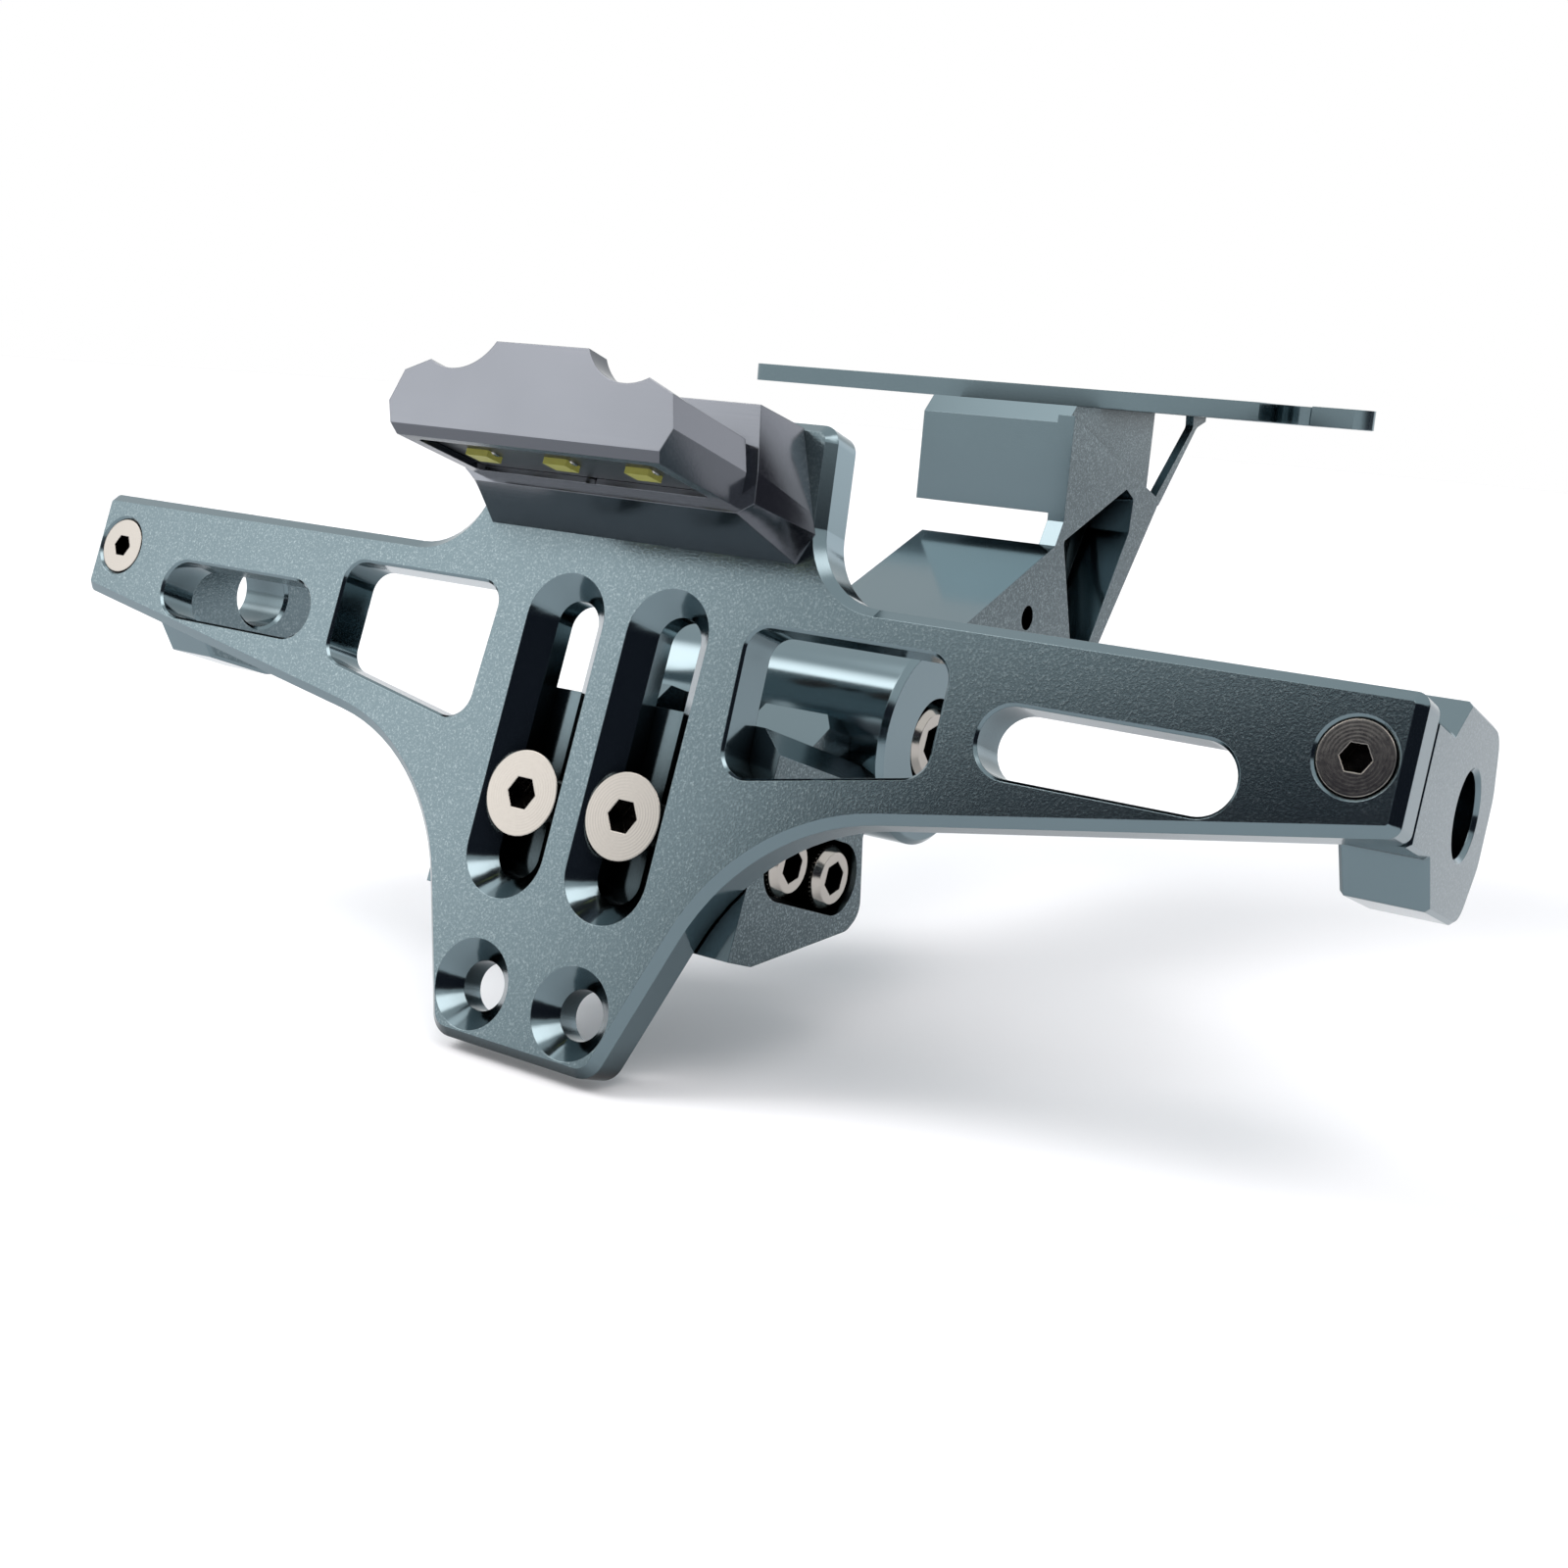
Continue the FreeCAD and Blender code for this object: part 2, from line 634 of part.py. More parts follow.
# Pivot block: carries the number plate bracket and clamps the tongue
def make_pivot_block():
    body = new_body("pivot_block", BRACKET_FRAME)
    half = size.block_width / 2
    start = size.bracket_thick + size.slide_gap
    back, top, bottom = block_back(), size.block_top, size.block_bottom
    pad(body, "block", "YZ", "-size.block_width / 2", "size.block_width", outline(
        (start, top), (start, bottom), (start + 5.4, bottom), (back + 1.8, bottom + 7.2, 3),
        (back + 4.2, bottom + 9.9, 3), (back, top - 9.5), (back, top)))
    bevel(body, "side_bevels", 3.0, lambda p: near(abs(p.x), half) and near(p.z, top))
    lip_half = size.lip_width / 2
    pad(body, "lip", "YZ", -lip_half, size.lip_width, outline(
        (back - 10.2, top), (back, top), (back - 1, size.lip_top), (back - 5, size.lip_top)))
    bevel(body, "lip_bevels", 2.0, lambda p: near(abs(p.x), lip_half) and near(p.z, size.lip_top))
    saddle = size.barrel_radius + 0.1
    pocket(body, "saddle", "YZ", -half - 1, size.block_width + 2, circle(
        "size.pivot_ahead", "size.pivot_above", saddle))
    slot_wide = size.tongue_width / 2 + size.side_gap
    gap = size.side_gap
    pocket(body, "tongue_slot", "YZ", -slot_wide, 2 * slot_wide, outline(
        (size.tongue_front - gap, size.tongue_bottom - gap),
        (back + 11, size.tongue_bottom - gap), (back + 11, size.lip_top + 9),
        (back - 11, size.lip_top + 9), (back - 11, top), (back - 4, top),
        (back - 4, size.tongue_top + gap),
        (size.tongue_front - gap, size.tongue_top + gap)))
    (y1, z1), (y2, z2) = clamp_places()
    depth = size.clamp_pocket_depth
    for side, begin in (("left", -half - 1), ("right", half - depth)):
        pocket(body, "clamp_pocket_" + side, "YZ", begin, depth + 1,
               slot(y1 - 2.6, z1, y2, z2, size.clamp_pocket_radius))
    holes = [circle(y, z, size.m5_radius + size.hole_room) for y, z in clamp_places()]
    pocket(body, "clamp_holes", "YZ", -half - 1, size.block_width + 2, *holes)
    threads = [circle(side * size.height_slot_offset, size.height_screw_place,
                      size.m6_radius + size.thread_gap) for side in SIDES.values()]
    pocket(body, "screw_threads", "XZ", start - 1, 6, *threads)
    return body


def make_clamp_fasteners():
    seat = size.block_width / 2 - size.clamp_pocket_depth
    for name, (y, z) in zip(("front", "back"), clamp_places()):
        cap_screw("clamp_screw_" + name, BRACKET_FRAME, (seat, y, z), (1, 0, 0),
                  size.m5_radius, 4.25, 5.0, 2 * seat + 5, 4)
        nut("clamp_nut_" + name, BRACKET_FRAME, (-seat, y, z), (-1, 0, 0),
            size.m5_radius, 4.0, 8.0)


# Number plate bracket
def make_number_plate_bracket():
    body = new_body("number_plate_bracket", BRACKET_FRAME)
    right_side = [
        (size.tab_half_width, size.tab_top, 2.5),
        (size.tab_half_width + 2.9, size.wing_top, 10.0),
        (size.bracket_half_width, size.wing_top, 1.5),
        (size.bracket_half_width, size.wing_tip_bottom, 1.5),
        (size.waist_half_width, size.waist_height, 30.0),
        (size.tail_half_width, size.tail_bottom, 3.5),
    ]
    left_side = [(-x, z, radius) for x, z, radius in reversed(right_side)]
    window = [(20.0, 3.5, 3.0), (48.3, 3.5, 3.2), (48.3, -10.7, 3.2), (20.8, -15.8, 3.6)]
    mirrored = [(-x, z, radius) for x, z, radius in window]
    slot_outer = size.bracket_half_width - size.wing_slot_inset
    wing_slots = []
    for side in SIDES.values():
        wing_slots.append(slot(side * size.wing_slot_inner, size.wing_slot_height,
                               side * slot_outer, size.wing_slot_height,
                               size.wing_slot_radius))
    pad(body, "plate", "XZ", 0, "size.bracket_thick", outline(*right_side, *left_side))
    bevel(body, "rear_bevel", "size.bracket_bevel", lambda p: near(p.y, 0))
    bevel(body, "ahead_bevel", "size.fine_bevel", lambda p: near(p.y, size.bracket_thick))
    through = size.bracket_thick + 2
    mouthed(body, "windows", 0, through, "size.fine_bevel", outline(*window),
            outline(*mirrored), *wing_slots)
    height_slots = [slot(side * size.height_slot_offset, size.height_slot_bottom,
                         side * size.height_slot_offset, size.height_slot_top,
                         size.height_slot_radius) for side in SIDES.values()]
    mouthed(body, "height_slots", 0, through, "size.height_slot_mouth - size.height_slot_radius",
            *height_slots)
    lower = [circle(side * size.lower_hole_offset, "size.lower_hole_height",
                    "size.height_slot_radius") for side in SIDES.values()]
    mouthed(body, "lower_holes", 0, through, "size.lower_hole_mouth - size.height_slot_radius",
            *lower)
    end_offset = size.bracket_half_width - size.end_screw_inset
    ends = [circle(side * end_offset, 0, "size.m5_radius + size.hole_room")
            for side in SIDES.values()]
    mouthed(body, "end_holes", 0, through, "size.end_screw_mouth - size.m5_radius - size.hole_room",
            *ends)
    high = size.lamp_screw_height
    lamp_holes = [circle(side * size.lamp_screw_offset, high, "size.m4_radius + size.hole_room")
                  for side in SIDES.values()]
    mouthed(body, "lamp_holes", size.bracket_thick, through, "size.m4_radius", *lamp_holes)
    pocket(body, "wire_hole", "XZ", -1, through, circle(0, high, "size.wire_hole_radius"))
    return body


def make_bracket_screws():
    """Two M6 screws whose heads run in the mouths of the height slots."""
    head = 5.65
    sink = countersunk_sink(size.height_slot_mouth, head) - size.slide_gap
    for side, sign in SIDES.items():
        place = (sign * size.height_slot_offset, sink, size.height_screw_place)
        countersunk_screw("bracket_screw_" + side, BRACKET_FRAME, place, (0, -1, 0),
                          size.m6_radius, head, 10, 4)


# Indicator brackets behind the two ends of the wing
def make_indicator_brackets():
    head = size.m5_head_radius
    sink = countersunk_sink(size.end_screw_mouth, head)
    neck = size.bracket_thick
    offset = size.bracket_half_width - size.end_screw_inset
    back, top, bottom = size.ear_back, size.ear_top, size.ear_bottom
    for side, sign in SIDES.items():
        body = new_body("indicator_bracket_" + side, BRACKET_FRAME)
        outer = sign * size.bracket_half_width
        inner = outer - sign * size.ear_thick
        pad(body, "ear", "YZ", min(outer, inner), "size.ear_thick", outline(
            (neck, 6.3), (neck, -7.5), (14.4, -7.5, 0.6), (19.5, bottom, 0.6),
            (back - 3.6, bottom, 4.5), (back, -5.0, 6.0), (back, 3.5, 6.0),
            (back - 3.6, top, 4.5), (18.1, top, 0.6), (13.6, 6.3, 0.6)))
        pocket(body, "stalk_hole", "YZ", min(outer, inner) - 1, size.ear_thick + 2, circle(
            "size.stalk_hole_ahead", "size.stalk_hole_height", "size.stalk_hole_radius"))
        bevel(body, "side_bevels", 0.5, lambda p: near(p.x, outer) or near(p.x, inner))
        thread = size.m5_radius + size.thread_gap
        pocket(body, "screw_thread", "XZ", neck - 1, 11,
               circle(sign * offset, 0, thread))
        countersunk_screw("end_screw_" + side, BRACKET_FRAME,
                          (sign * offset, sink, 0), (0, -1, 0),
                          size.m5_radius, head, 14, 3)


# Number plate lamp: a base on the tab, a hood in front of it and a board with LEDs
def make_lamp_base():
    body = new_body("lamp_base", BRACKET_FRAME)
    top, bottom, deep = size.lamp_base_top, size.lamp_base_bottom, size.lamp_base_depth
    rear = [(20.6, top), (25.0, 18.0), (26.0, 15.6), (24.4, bottom)]
    face = [(20.2, top - 0.4), (22.2, 20.0), (22.8, 16.2), (20.6, bottom + 3.2)]
    sketches = []
    for name, ahead, corners in (("back", 0, rear), ("face", -deep, face)):
        sketch = new_sketch(body, "XZ", ahead, name)
        outline(*corners, *[(-x, z) for x, z in reversed(corners)])(sketch)
        sketches.append(sketch)
    loft = body.newObject("PartDesign::AdditiveLoft", "loft")
    loft.Profile = sketches[0]
    loft.Sections = [sketches[1]]
    loft.Ruled = True
    doc.recompute()
    high = size.lamp_screw_height
    threads = [circle(side * size.lamp_screw_offset, high, size.m4_radius + size.thread_gap)
               for side in SIDES.values()]
    pocket(body, "base_threads", "XZ", -7.5, 8.5, *threads)
    pocket(body, "wire_hole", "XZ", -deep - 1, deep + 2, circle(0, high, size.wire_hole_radius))
    sides = [side * size.hood_screw_offset for side in SIDES.values()]
    pocket(body, "hood_screw_holes", "XZ", -deep - 1, deep + 2,
           *[circle(x, high, size.m3_radius + size.hole_room) for x in sides])
    pocket(body, "hood_screw_seats", "XZ", -4.5, 5.5, *[circle(x, high, 3.1) for x in sides])
    return body


def make_lamp_hood():
    body = new_body("lamp_hood", BRACKET_FRAME)
    rear = -size.lamp_base_depth
    face = rear - size.hood_depth
    low, high, lip = size.hood_bottom, size.hood_top, size.hood_lip_top
    wide = size.hood_half_width
    shoulder = high + 1.6
    slab = [(wide - 1.6, low), (wide, low + 3.8), (wide - 1.3, high)]
    pad(body, "slab", "XZ", face, "size.hood_depth", outline(
        *slab, *[(-x, z) for x, z in reversed(slab)]))
    crest = [(wide - 1.3, high), (wide - 5.1, shoulder), (wide - 9.7, shoulder),
             (wide - 12.7, lip)]
    pad(body, "crest", "XZ", face, "size.hood_lip_thick", outline(
        (wide - 1.3, high - 2), *crest, *[(-x, z) for x, z in reversed(crest)],
        (1.3 - wide, high - 2)))
    scallops = [circle(side * size.scallop_offset, "size.scallop_height", "size.scallop_radius")
                for side in SIDES.values()]
    pocket(body, "scallops", "XZ", face - 1, size.hood_lip_thick + 1, *scallops)
    bevel(body, "lower_bevel", 1.1, lambda p: near(p.y, face) and near(p.z, low))
    bevel(body, "back_bevels", 1.6,
          lambda p: p.y > rear - 1e-4 and abs(p.x) > wide - 2 and p.z > low + 1)
    room = 0.15
    half_long, half_deep = size.board_length / 2 + room, size.board_depth / 2 + room
    middle = size.board_ahead
    pocket(body, "board_recess", "XY", low - 1, 3.0, outline(
        (-half_long, middle - half_deep, 1.0), (half_long, middle - half_deep, 1.0),
        (half_long, middle + half_deep, 1.0), (-half_long, middle + half_deep, 1.0)))
    height = size.lamp_screw_height
    thread = size.m3_radius + size.thread_gap
    pocket(body, "screw_threads", "XZ", rear - 6, 7,
           *[circle(side * size.hood_screw_offset, height, thread) for side in SIDES.values()])
    pocket(body, "wire_hole", "XZ", rear - 5, 6, circle(0, height, size.wire_hole_radius))
    pocket(body, "wire_drop", "XY", low, height - low, circle(0, rear - 3.5, 1.4))
    return body


def make_lamp_board():
    """The board lies against the roof of the hood's recess, with its LEDs below."""
    roof = size.hood_bottom + 2.0
    body = new_body("lamp_board", BRACKET_FRAME)
    half_long, half_deep = size.board_length / 2, size.board_depth / 2
    middle = size.board_ahead
    pad(body, "board", "XY", roof - size.board_thick, "size.board_thick", outline(
        (-half_long, middle - half_deep, 1.0), (half_long, middle - half_deep, 1.0),
        (half_long, middle + half_deep, 1.0), (-half_long, middle + half_deep, 1.0)))
    under = roof - size.board_thick - size.led_thick
    half_led, half_side = size.led_width / 2, size.led_depth / 2
    for name, place in (("left", -1), ("middle", 0), ("right", 1)):
        led = new_body("led_" + name, BRACKET_FRAME)
        x = place * size.led_pitch
        pad(led, "chip", "XY", under, "size.led_thick", outline(
            (x - half_led, middle - half_side), (x + half_led, middle - half_side),
            (x + half_led, middle + half_side), (x - half_led, middle + half_side)))


def make_lamp_screws():
    high = size.lamp_screw_height
    head = 3.75
    mouth = 2 * size.m4_radius + size.hole_room
    sink = countersunk_sink(mouth, head)
    for side, sign in SIDES.items():
        countersunk_screw("lamp_base_screw_" + side, BRACKET_FRAME,
                          (sign * size.lamp_screw_offset, size.bracket_thick - sink, high),
                          (0, 1, 0), size.m4_radius, head, 12, 2.5)
        cap_screw("hood_screw_" + side, BRACKET_FRAME,
                  (sign * size.hood_screw_offset, -4.5, high), (0, 1, 0),
                  size.m3_radius, 2.75, 3.0, 10, 2.5)


make_mount_plate()
make_mount_screws()
make_tail_arm()
make_hinge_link()
make_pivot_fasteners()
make_pivot_block()
make_clamp_fasteners()
make_number_plate_bracket()
make_bracket_screws()
make_indicator_brackets()
make_lamp_base()
make_lamp_hood()
make_lamp_board()
make_lamp_screws()
doc.recompute()

# Check every object, then write each sub-part
for item in doc.Objects:
    if "Invalid" in item.State or "Error" in item.State:
        raise RuntimeError("%s failed: %s" % (item.Label, item.State))
bodies = [item for item in doc.Objects if item.TypeId == "PartDesign::Body"]
for body in bodies:
    if body.Shape.isNull() or not body.Shape.isValid() or len(body.Shape.Solids) != 1:
        raise RuntimeError("%s has no sound solid" % body.Label)
for body in bodies:
    body.Shape.exportStep("parts/%s.step" % body.Label)
print("%d sub-parts" % len(bodies))
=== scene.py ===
# %% [markdown]
# # A tail tidy in milled aluminium
# A tail tidy carries a motorbike's number plate behind its seat. This one is
# milled from aluminium, anodised grey, and held together with steel screws.
# The shapes of its parts come from the frame, in metres, and stay where they
# are. These cells give them their finishes, add small details, and set up the
# studio and the camera.

# %% Load the frame
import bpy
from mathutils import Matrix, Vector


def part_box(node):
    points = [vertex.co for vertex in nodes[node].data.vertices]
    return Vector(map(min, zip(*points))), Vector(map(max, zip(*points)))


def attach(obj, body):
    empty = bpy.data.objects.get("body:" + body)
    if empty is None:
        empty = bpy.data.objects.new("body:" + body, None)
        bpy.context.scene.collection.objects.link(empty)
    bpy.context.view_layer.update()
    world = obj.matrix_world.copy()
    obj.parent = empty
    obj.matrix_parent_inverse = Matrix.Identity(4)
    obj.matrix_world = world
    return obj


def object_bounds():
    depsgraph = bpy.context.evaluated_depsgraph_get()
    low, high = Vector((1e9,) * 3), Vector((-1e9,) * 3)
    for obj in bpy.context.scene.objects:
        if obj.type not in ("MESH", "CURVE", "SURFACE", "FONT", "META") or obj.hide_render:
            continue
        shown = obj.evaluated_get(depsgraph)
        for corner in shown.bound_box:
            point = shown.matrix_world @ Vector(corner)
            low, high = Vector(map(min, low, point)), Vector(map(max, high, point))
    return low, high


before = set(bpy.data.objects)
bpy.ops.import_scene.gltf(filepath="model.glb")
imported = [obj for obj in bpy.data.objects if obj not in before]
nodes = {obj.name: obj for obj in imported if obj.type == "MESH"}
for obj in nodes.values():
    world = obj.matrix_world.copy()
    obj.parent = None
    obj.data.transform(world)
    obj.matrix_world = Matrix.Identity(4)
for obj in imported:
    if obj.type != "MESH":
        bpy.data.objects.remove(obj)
frame_box = [list(corner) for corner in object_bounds()]

import math
import bpy
from mathutils import Matrix, Vector

MM = 0.001
scene = bpy.context.scene

# %% [markdown]
# ## The camera
# The tidy is seen from behind, from its right and a little above, close up,
# which makes its near end look much larger than its far end. A long lens from
# far away would flatten that, so the camera stands a quarter of a metre from
# the near end, with a fairly short lens. Its place and its three axes were
# worked out from corners that are easy to find on the part.

# %% Camera
SENSOR_WIDTH, LENS = 36.0, 45.5    # millimetres, as on a real camera
CAMERA_PLACE = Vector((154.64, -340.25, -3.56)) * MM
CAMERA_RIGHT = Vector((0.83091, 0.55028, 0.08235))
CAMERA_DOWN = Vector((0.17629, -0.11999, -0.97700))
CAMERA_AHEAD = CAMERA_RIGHT.cross(CAMERA_DOWN)
NEAREST, FARTHEST = 0.01, 50.0

camera_data = bpy.data.cameras.new("camera")
camera_data.sensor_width, camera_data.lens = SENSOR_WIDTH, LENS
camera_data.clip_start, camera_data.clip_end = NEAREST, FARTHEST
camera = bpy.data.objects.new("camera", camera_data)
turn = Matrix((CAMERA_RIGHT, -CAMERA_DOWN, -CAMERA_AHEAD)).transposed()
camera.matrix_world = Matrix.Translation(CAMERA_PLACE) @ turn.to_4x4()
scene.collection.objects.link(camera)
scene.camera = camera
print("lens", LENS, "mm, looking along", [round(v, 3) for v in CAMERA_AHEAD])

# %% [markdown]
# ## Helpers for materials
# A colour picked on a screen is an sRGB value, and a shader wants a linear one,
# so one function turns a hex code into linear numbers. Another adds a node with
# its settings and inputs, where an input is a plain value or another node's
# output, which it links. A whole finish is then a short list of such calls. A
# Mix node takes its share at input 0, and the two colours at inputs 6 and 7.

# %% Colour and node helpers
def linear(code):
    """A linear RGBA colour from an sRGB hex code."""
    channels = [int(code[i:i + 2], 16) / 255 for i in (1, 3, 5)]
    return [c / 12.92 if c <= 0.04045 else ((c + 0.055) / 1.055) ** 2.4 for c in channels] + [1.0]


def add(tree, kind, inputs=None, **settings):
    """Adds a node. Inputs are given by name or number, as values or outputs."""
    made = tree.nodes.new(kind)
    for name, value in settings.items():
        setattr(made, name, value)
    for name, value in (inputs or {}).items():
        if isinstance(value, bpy.types.NodeSocket):
            tree.links.new(value, made.inputs[name])
        else:
            made.inputs[name].default_value = value
    return made


def new_material(name):
    """A material with an empty tree, and its output node."""
    material = bpy.data.materials.new(name)
    material.use_nodes = True
    material.node_tree.nodes.clear()
    output = material.node_tree.nodes.new("ShaderNodeOutputMaterial")
    return material, material.node_tree, output


def dress(material, *names):
    """Gives parts of the frame a material in each of their slots."""
    for name in names:
        for place in nodes[name].material_slots:
            place.material = material
    print(material.name, "on", ", ".join(names))


print("the anodised grey, linear:", [round(c, 3) for c in linear("#75868c")])

# %% [markdown]
# ## Real sizes in patterns
# A pattern looks right when its grain has the size that the tool left. The
# object's coordinates are in metres, so a size in millimetres gives the
# texture's scale directly. Light hardly reaches into sockets, deep slots and
# pockets, and one function paints shade into a colour there. It asks how
# much open space a point sees, which works for any shape without a painted map.

# %% Scales and painted shade
def per_metre(millimetres):
    """A texture scale whose features are about that many millimetres."""
    return 1000.0 / millimetres


def wave_scale(millimetres):
    """A wave texture's scale whose waves are that many millimetres apart."""
    return per_metre(millimetres) * 2 * math.pi / 20


def paint_recess_shade(tree, colour, shade_colour, reach, closed, open_enough, own_walls_only=True):
    """Paints shade into a colour where surfaces close by shut the light out.

    The reach is how far away those surfaces count, in millimetres. The share of
    open space is taken as none at closed, and as full at open_enough.
    """
    space = add(tree, "ShaderNodeAmbientOcclusion", {"Distance": reach * MM}, samples=6,
                only_local=own_walls_only)
    open_share = add(tree, "ShaderNodeMapRange", {"Value": space.outputs["AO"],
                                             "From Min": closed, "From Max": open_enough})
    return add(tree, "ShaderNodeMix", {0: open_share.outputs[0], 6: linear(shade_colour), 7: colour},
               data_type="RGBA").outputs[2]


print("grain of 0.33 mm has scale", round(per_metre(0.33)))

# %% [markdown]
# ## Blasted, anodised aluminium
# The flat faces are bead blasted before they are anodised: fine glass beads
# dent the metal, and it turns satin, with a grain that sparkles where a dent
# catches a lamp. The walls of windows and the bevels are cut after that, so
# they are smoother and show sharper reflections. One material does both. It
# compares the surface's own direction with the direction of the blasted faces,
# which is right from any side, because it doesn't ask where the camera is.

# %% Grey anodised aluminium
LEAN = math.radians(17.4)
PLATE_FACE = (0.0, -math.cos(LEAN), math.sin(LEAN))
FLAT_FACE, SIDE_FACE = (0.0, 0.0, 1.0), (1.0, 0.0, 0.0)
# Beads leave dents of 0.1 mm, drawn at 0.33 mm so that they show
DENT, DENT_DEPTH = 0.33, 0.05 * MM
# The dye takes unevenly, in clouds of about 20 mm
DYE_CLOUD, CLOUD_SHADE = 20.0, 0.9
# A cut wall is smoother than a blasted face, and its dents hardly show
CUT_ROUGHNESS, CUT_BUMP, BLASTED_BUMP = 0.12, 0.03, 0.2
MILLED_EDGE = 0.12 * MM
POCKET_REACH = 9.0
print("the bracket's blasted face points along", [round(v, 3) for v in PLATE_FACE])


def grey_anodised(name, face, face_tone_and_shade=1.0, face_roughness=0.14):
    """Satin grey aluminium, blasted on the faces that point along one line.

    The tone and shade says how much darker those faces are painted than the cut
    ones. It evens out the pale specks, and on dark sides it is painted shade.
    """
    material, tree, output = new_material(name)
    place = add(tree, "ShaderNodeTexCoord")
    grey = linear("#75868c")
    # Blasted faces point along the given line, either way
    along = add(tree, "ShaderNodeVectorMath", {0: place.outputs["Normal"], 1: face},
                operation="DOT_PRODUCT")
    either = add(tree, "ShaderNodeMath", {0: along.outputs["Value"]}, operation="ABSOLUTE")
    blasted = add(tree, "ShaderNodeMapRange", {"Value": either.outputs[0], "From Min": 0.9,
                                               "From Max": 0.97})
    clouds = add(tree, "ShaderNodeTexNoise", {"Vector": place.outputs["Object"],
                                              "Scale": per_metre(DYE_CLOUD), "Detail": 2.0})
    base = add(tree, "ShaderNodeMix", {0: clouds.outputs["Fac"], 6: grey,
                                       7: [c * CLOUD_SHADE for c in grey[:3]] + [1.0]},
               data_type="RGBA")
    # Blasted faces are painted darker than cut ones; on shaded sides this is painted shade
    face_darkening = add(tree, "ShaderNodeMix", {0: blasted.outputs[0], 6: (1.0, 1.0, 1.0, 1.0),
                                       7: (face_tone_and_shade, face_tone_and_shade, face_tone_and_shade, 1.0)},
               data_type="RGBA")
    faces = add(tree, "ShaderNodeMix", {0: 1.0, 6: base.outputs[2], 7: face_darkening.outputs[2]},
                data_type="RGBA", blend_type="MULTIPLY")
    # The rims of the dents are paler, on blasted faces only
    dents = add(tree, "ShaderNodeTexNoise", {"Vector": place.outputs["Object"],
                                             "Scale": per_metre(DENT), "Detail": 2.0,
                                             "Roughness": 0.8})
    rims = add(tree, "ShaderNodeMapRange", {"Value": dents.outputs["Fac"], "From Min": 0.5,
                                            "From Max": 0.75})
    specks = add(tree, "ShaderNodeMath", {0: rims.outputs[0], 1: blasted.outputs[0]},
                 operation="MULTIPLY")
    paint = add(tree, "ShaderNodeMix", {0: specks.outputs[0], 6: faces.outputs[2],
                                        7: linear("#95a3a7")}, data_type="RGBA")
    rough = add(tree, "ShaderNodeMapRange", {"Value": blasted.outputs[0],
                                             "To Min": CUT_ROUGHNESS,
                                             "To Max": face_roughness})
    strength = add(tree, "ShaderNodeMapRange", {"Value": blasted.outputs[0],
                                                "To Min": CUT_BUMP, "To Max": BLASTED_BUMP})
    edges = add(tree, "ShaderNodeBevel", {"Radius": MILLED_EDGE}, samples=4)
    grain = add(tree, "ShaderNodeBump", {"Height": dents.outputs["Fac"], "Distance": DENT_DEPTH,
                                         "Strength": strength.outputs[0],
                                         "Normal": edges.outputs[0]})
    # Painted shade in deep pockets, narrow gaps and behind other parts, where light hardly
    # reaches
    recess_shaded = paint_recess_shade(tree, paint.outputs[2], "#0b0e10", POCKET_REACH, 0.3, 0.8,
                      own_walls_only=False)
    shader = add(tree, "ShaderNodeBsdfPrincipled", {
        "Base Color": recess_shaded, "Metallic": 1.0, "Roughness": rough.outputs[0],
        "Normal": grain.outputs[0]})
    tree.links.new(shader.outputs[0], output.inputs["Surface"])
    return material


# %% [markdown]
# The bracket's blasted faces lean with the plate, the mount plate's lie flat,
# and those of the arm, the block and the ears are their sides. The mount
# plate's top lies under a seat and isn't finished as finely, so it is duller.
# The sides of the arm and the block are painted darkest, as painted shade.

# %% Where the blasted finish goes
dress(grey_anodised("blasted_anodised_bracket", PLATE_FACE, face_tone_and_shade=0.93),
      "number_plate_bracket")
dress(grey_anodised("blasted_anodised_sheet", FLAT_FACE, face_roughness=0.34), "mount_plate")
# Painted shade: the sides of the arm and the block are painted at half brightness
dress(grey_anodised("blasted_anodised_sides", SIDE_FACE, face_tone_and_shade=0.5),
      "tail_arm", "pivot_block")
dress(grey_anodised("blasted_anodised_ears", SIDE_FACE, face_tone_and_shade=0.82),
      "indicator_bracket_left", "indicator_bracket_right")

# %% [markdown]
# ## Polished barrel
# The hinge's barrel is turned on a lathe and polished before it is anodised, so
# it mirrors the bracket and the lamps around it. A lathe leaves rings round its
# axis. They are a tenth of a millimetre apart and are drawn three times as
# coarse, very shallow, so that they only soften a highlight. A wave texture in
# bands along the axis gives them, because the barrel lies along X.

# %% Polished aluminium
BARREL_RINGS, RING_DEPTH = 0.3, 0.01 * MM
# Fingers leave smears of about 9 mm that dull the polish
SMEAR, CLEAN_ROUGHNESS, SMEARED_ROUGHNESS = 9.0, 0.09, 0.17
POLISHED_EDGE = 0.15 * MM


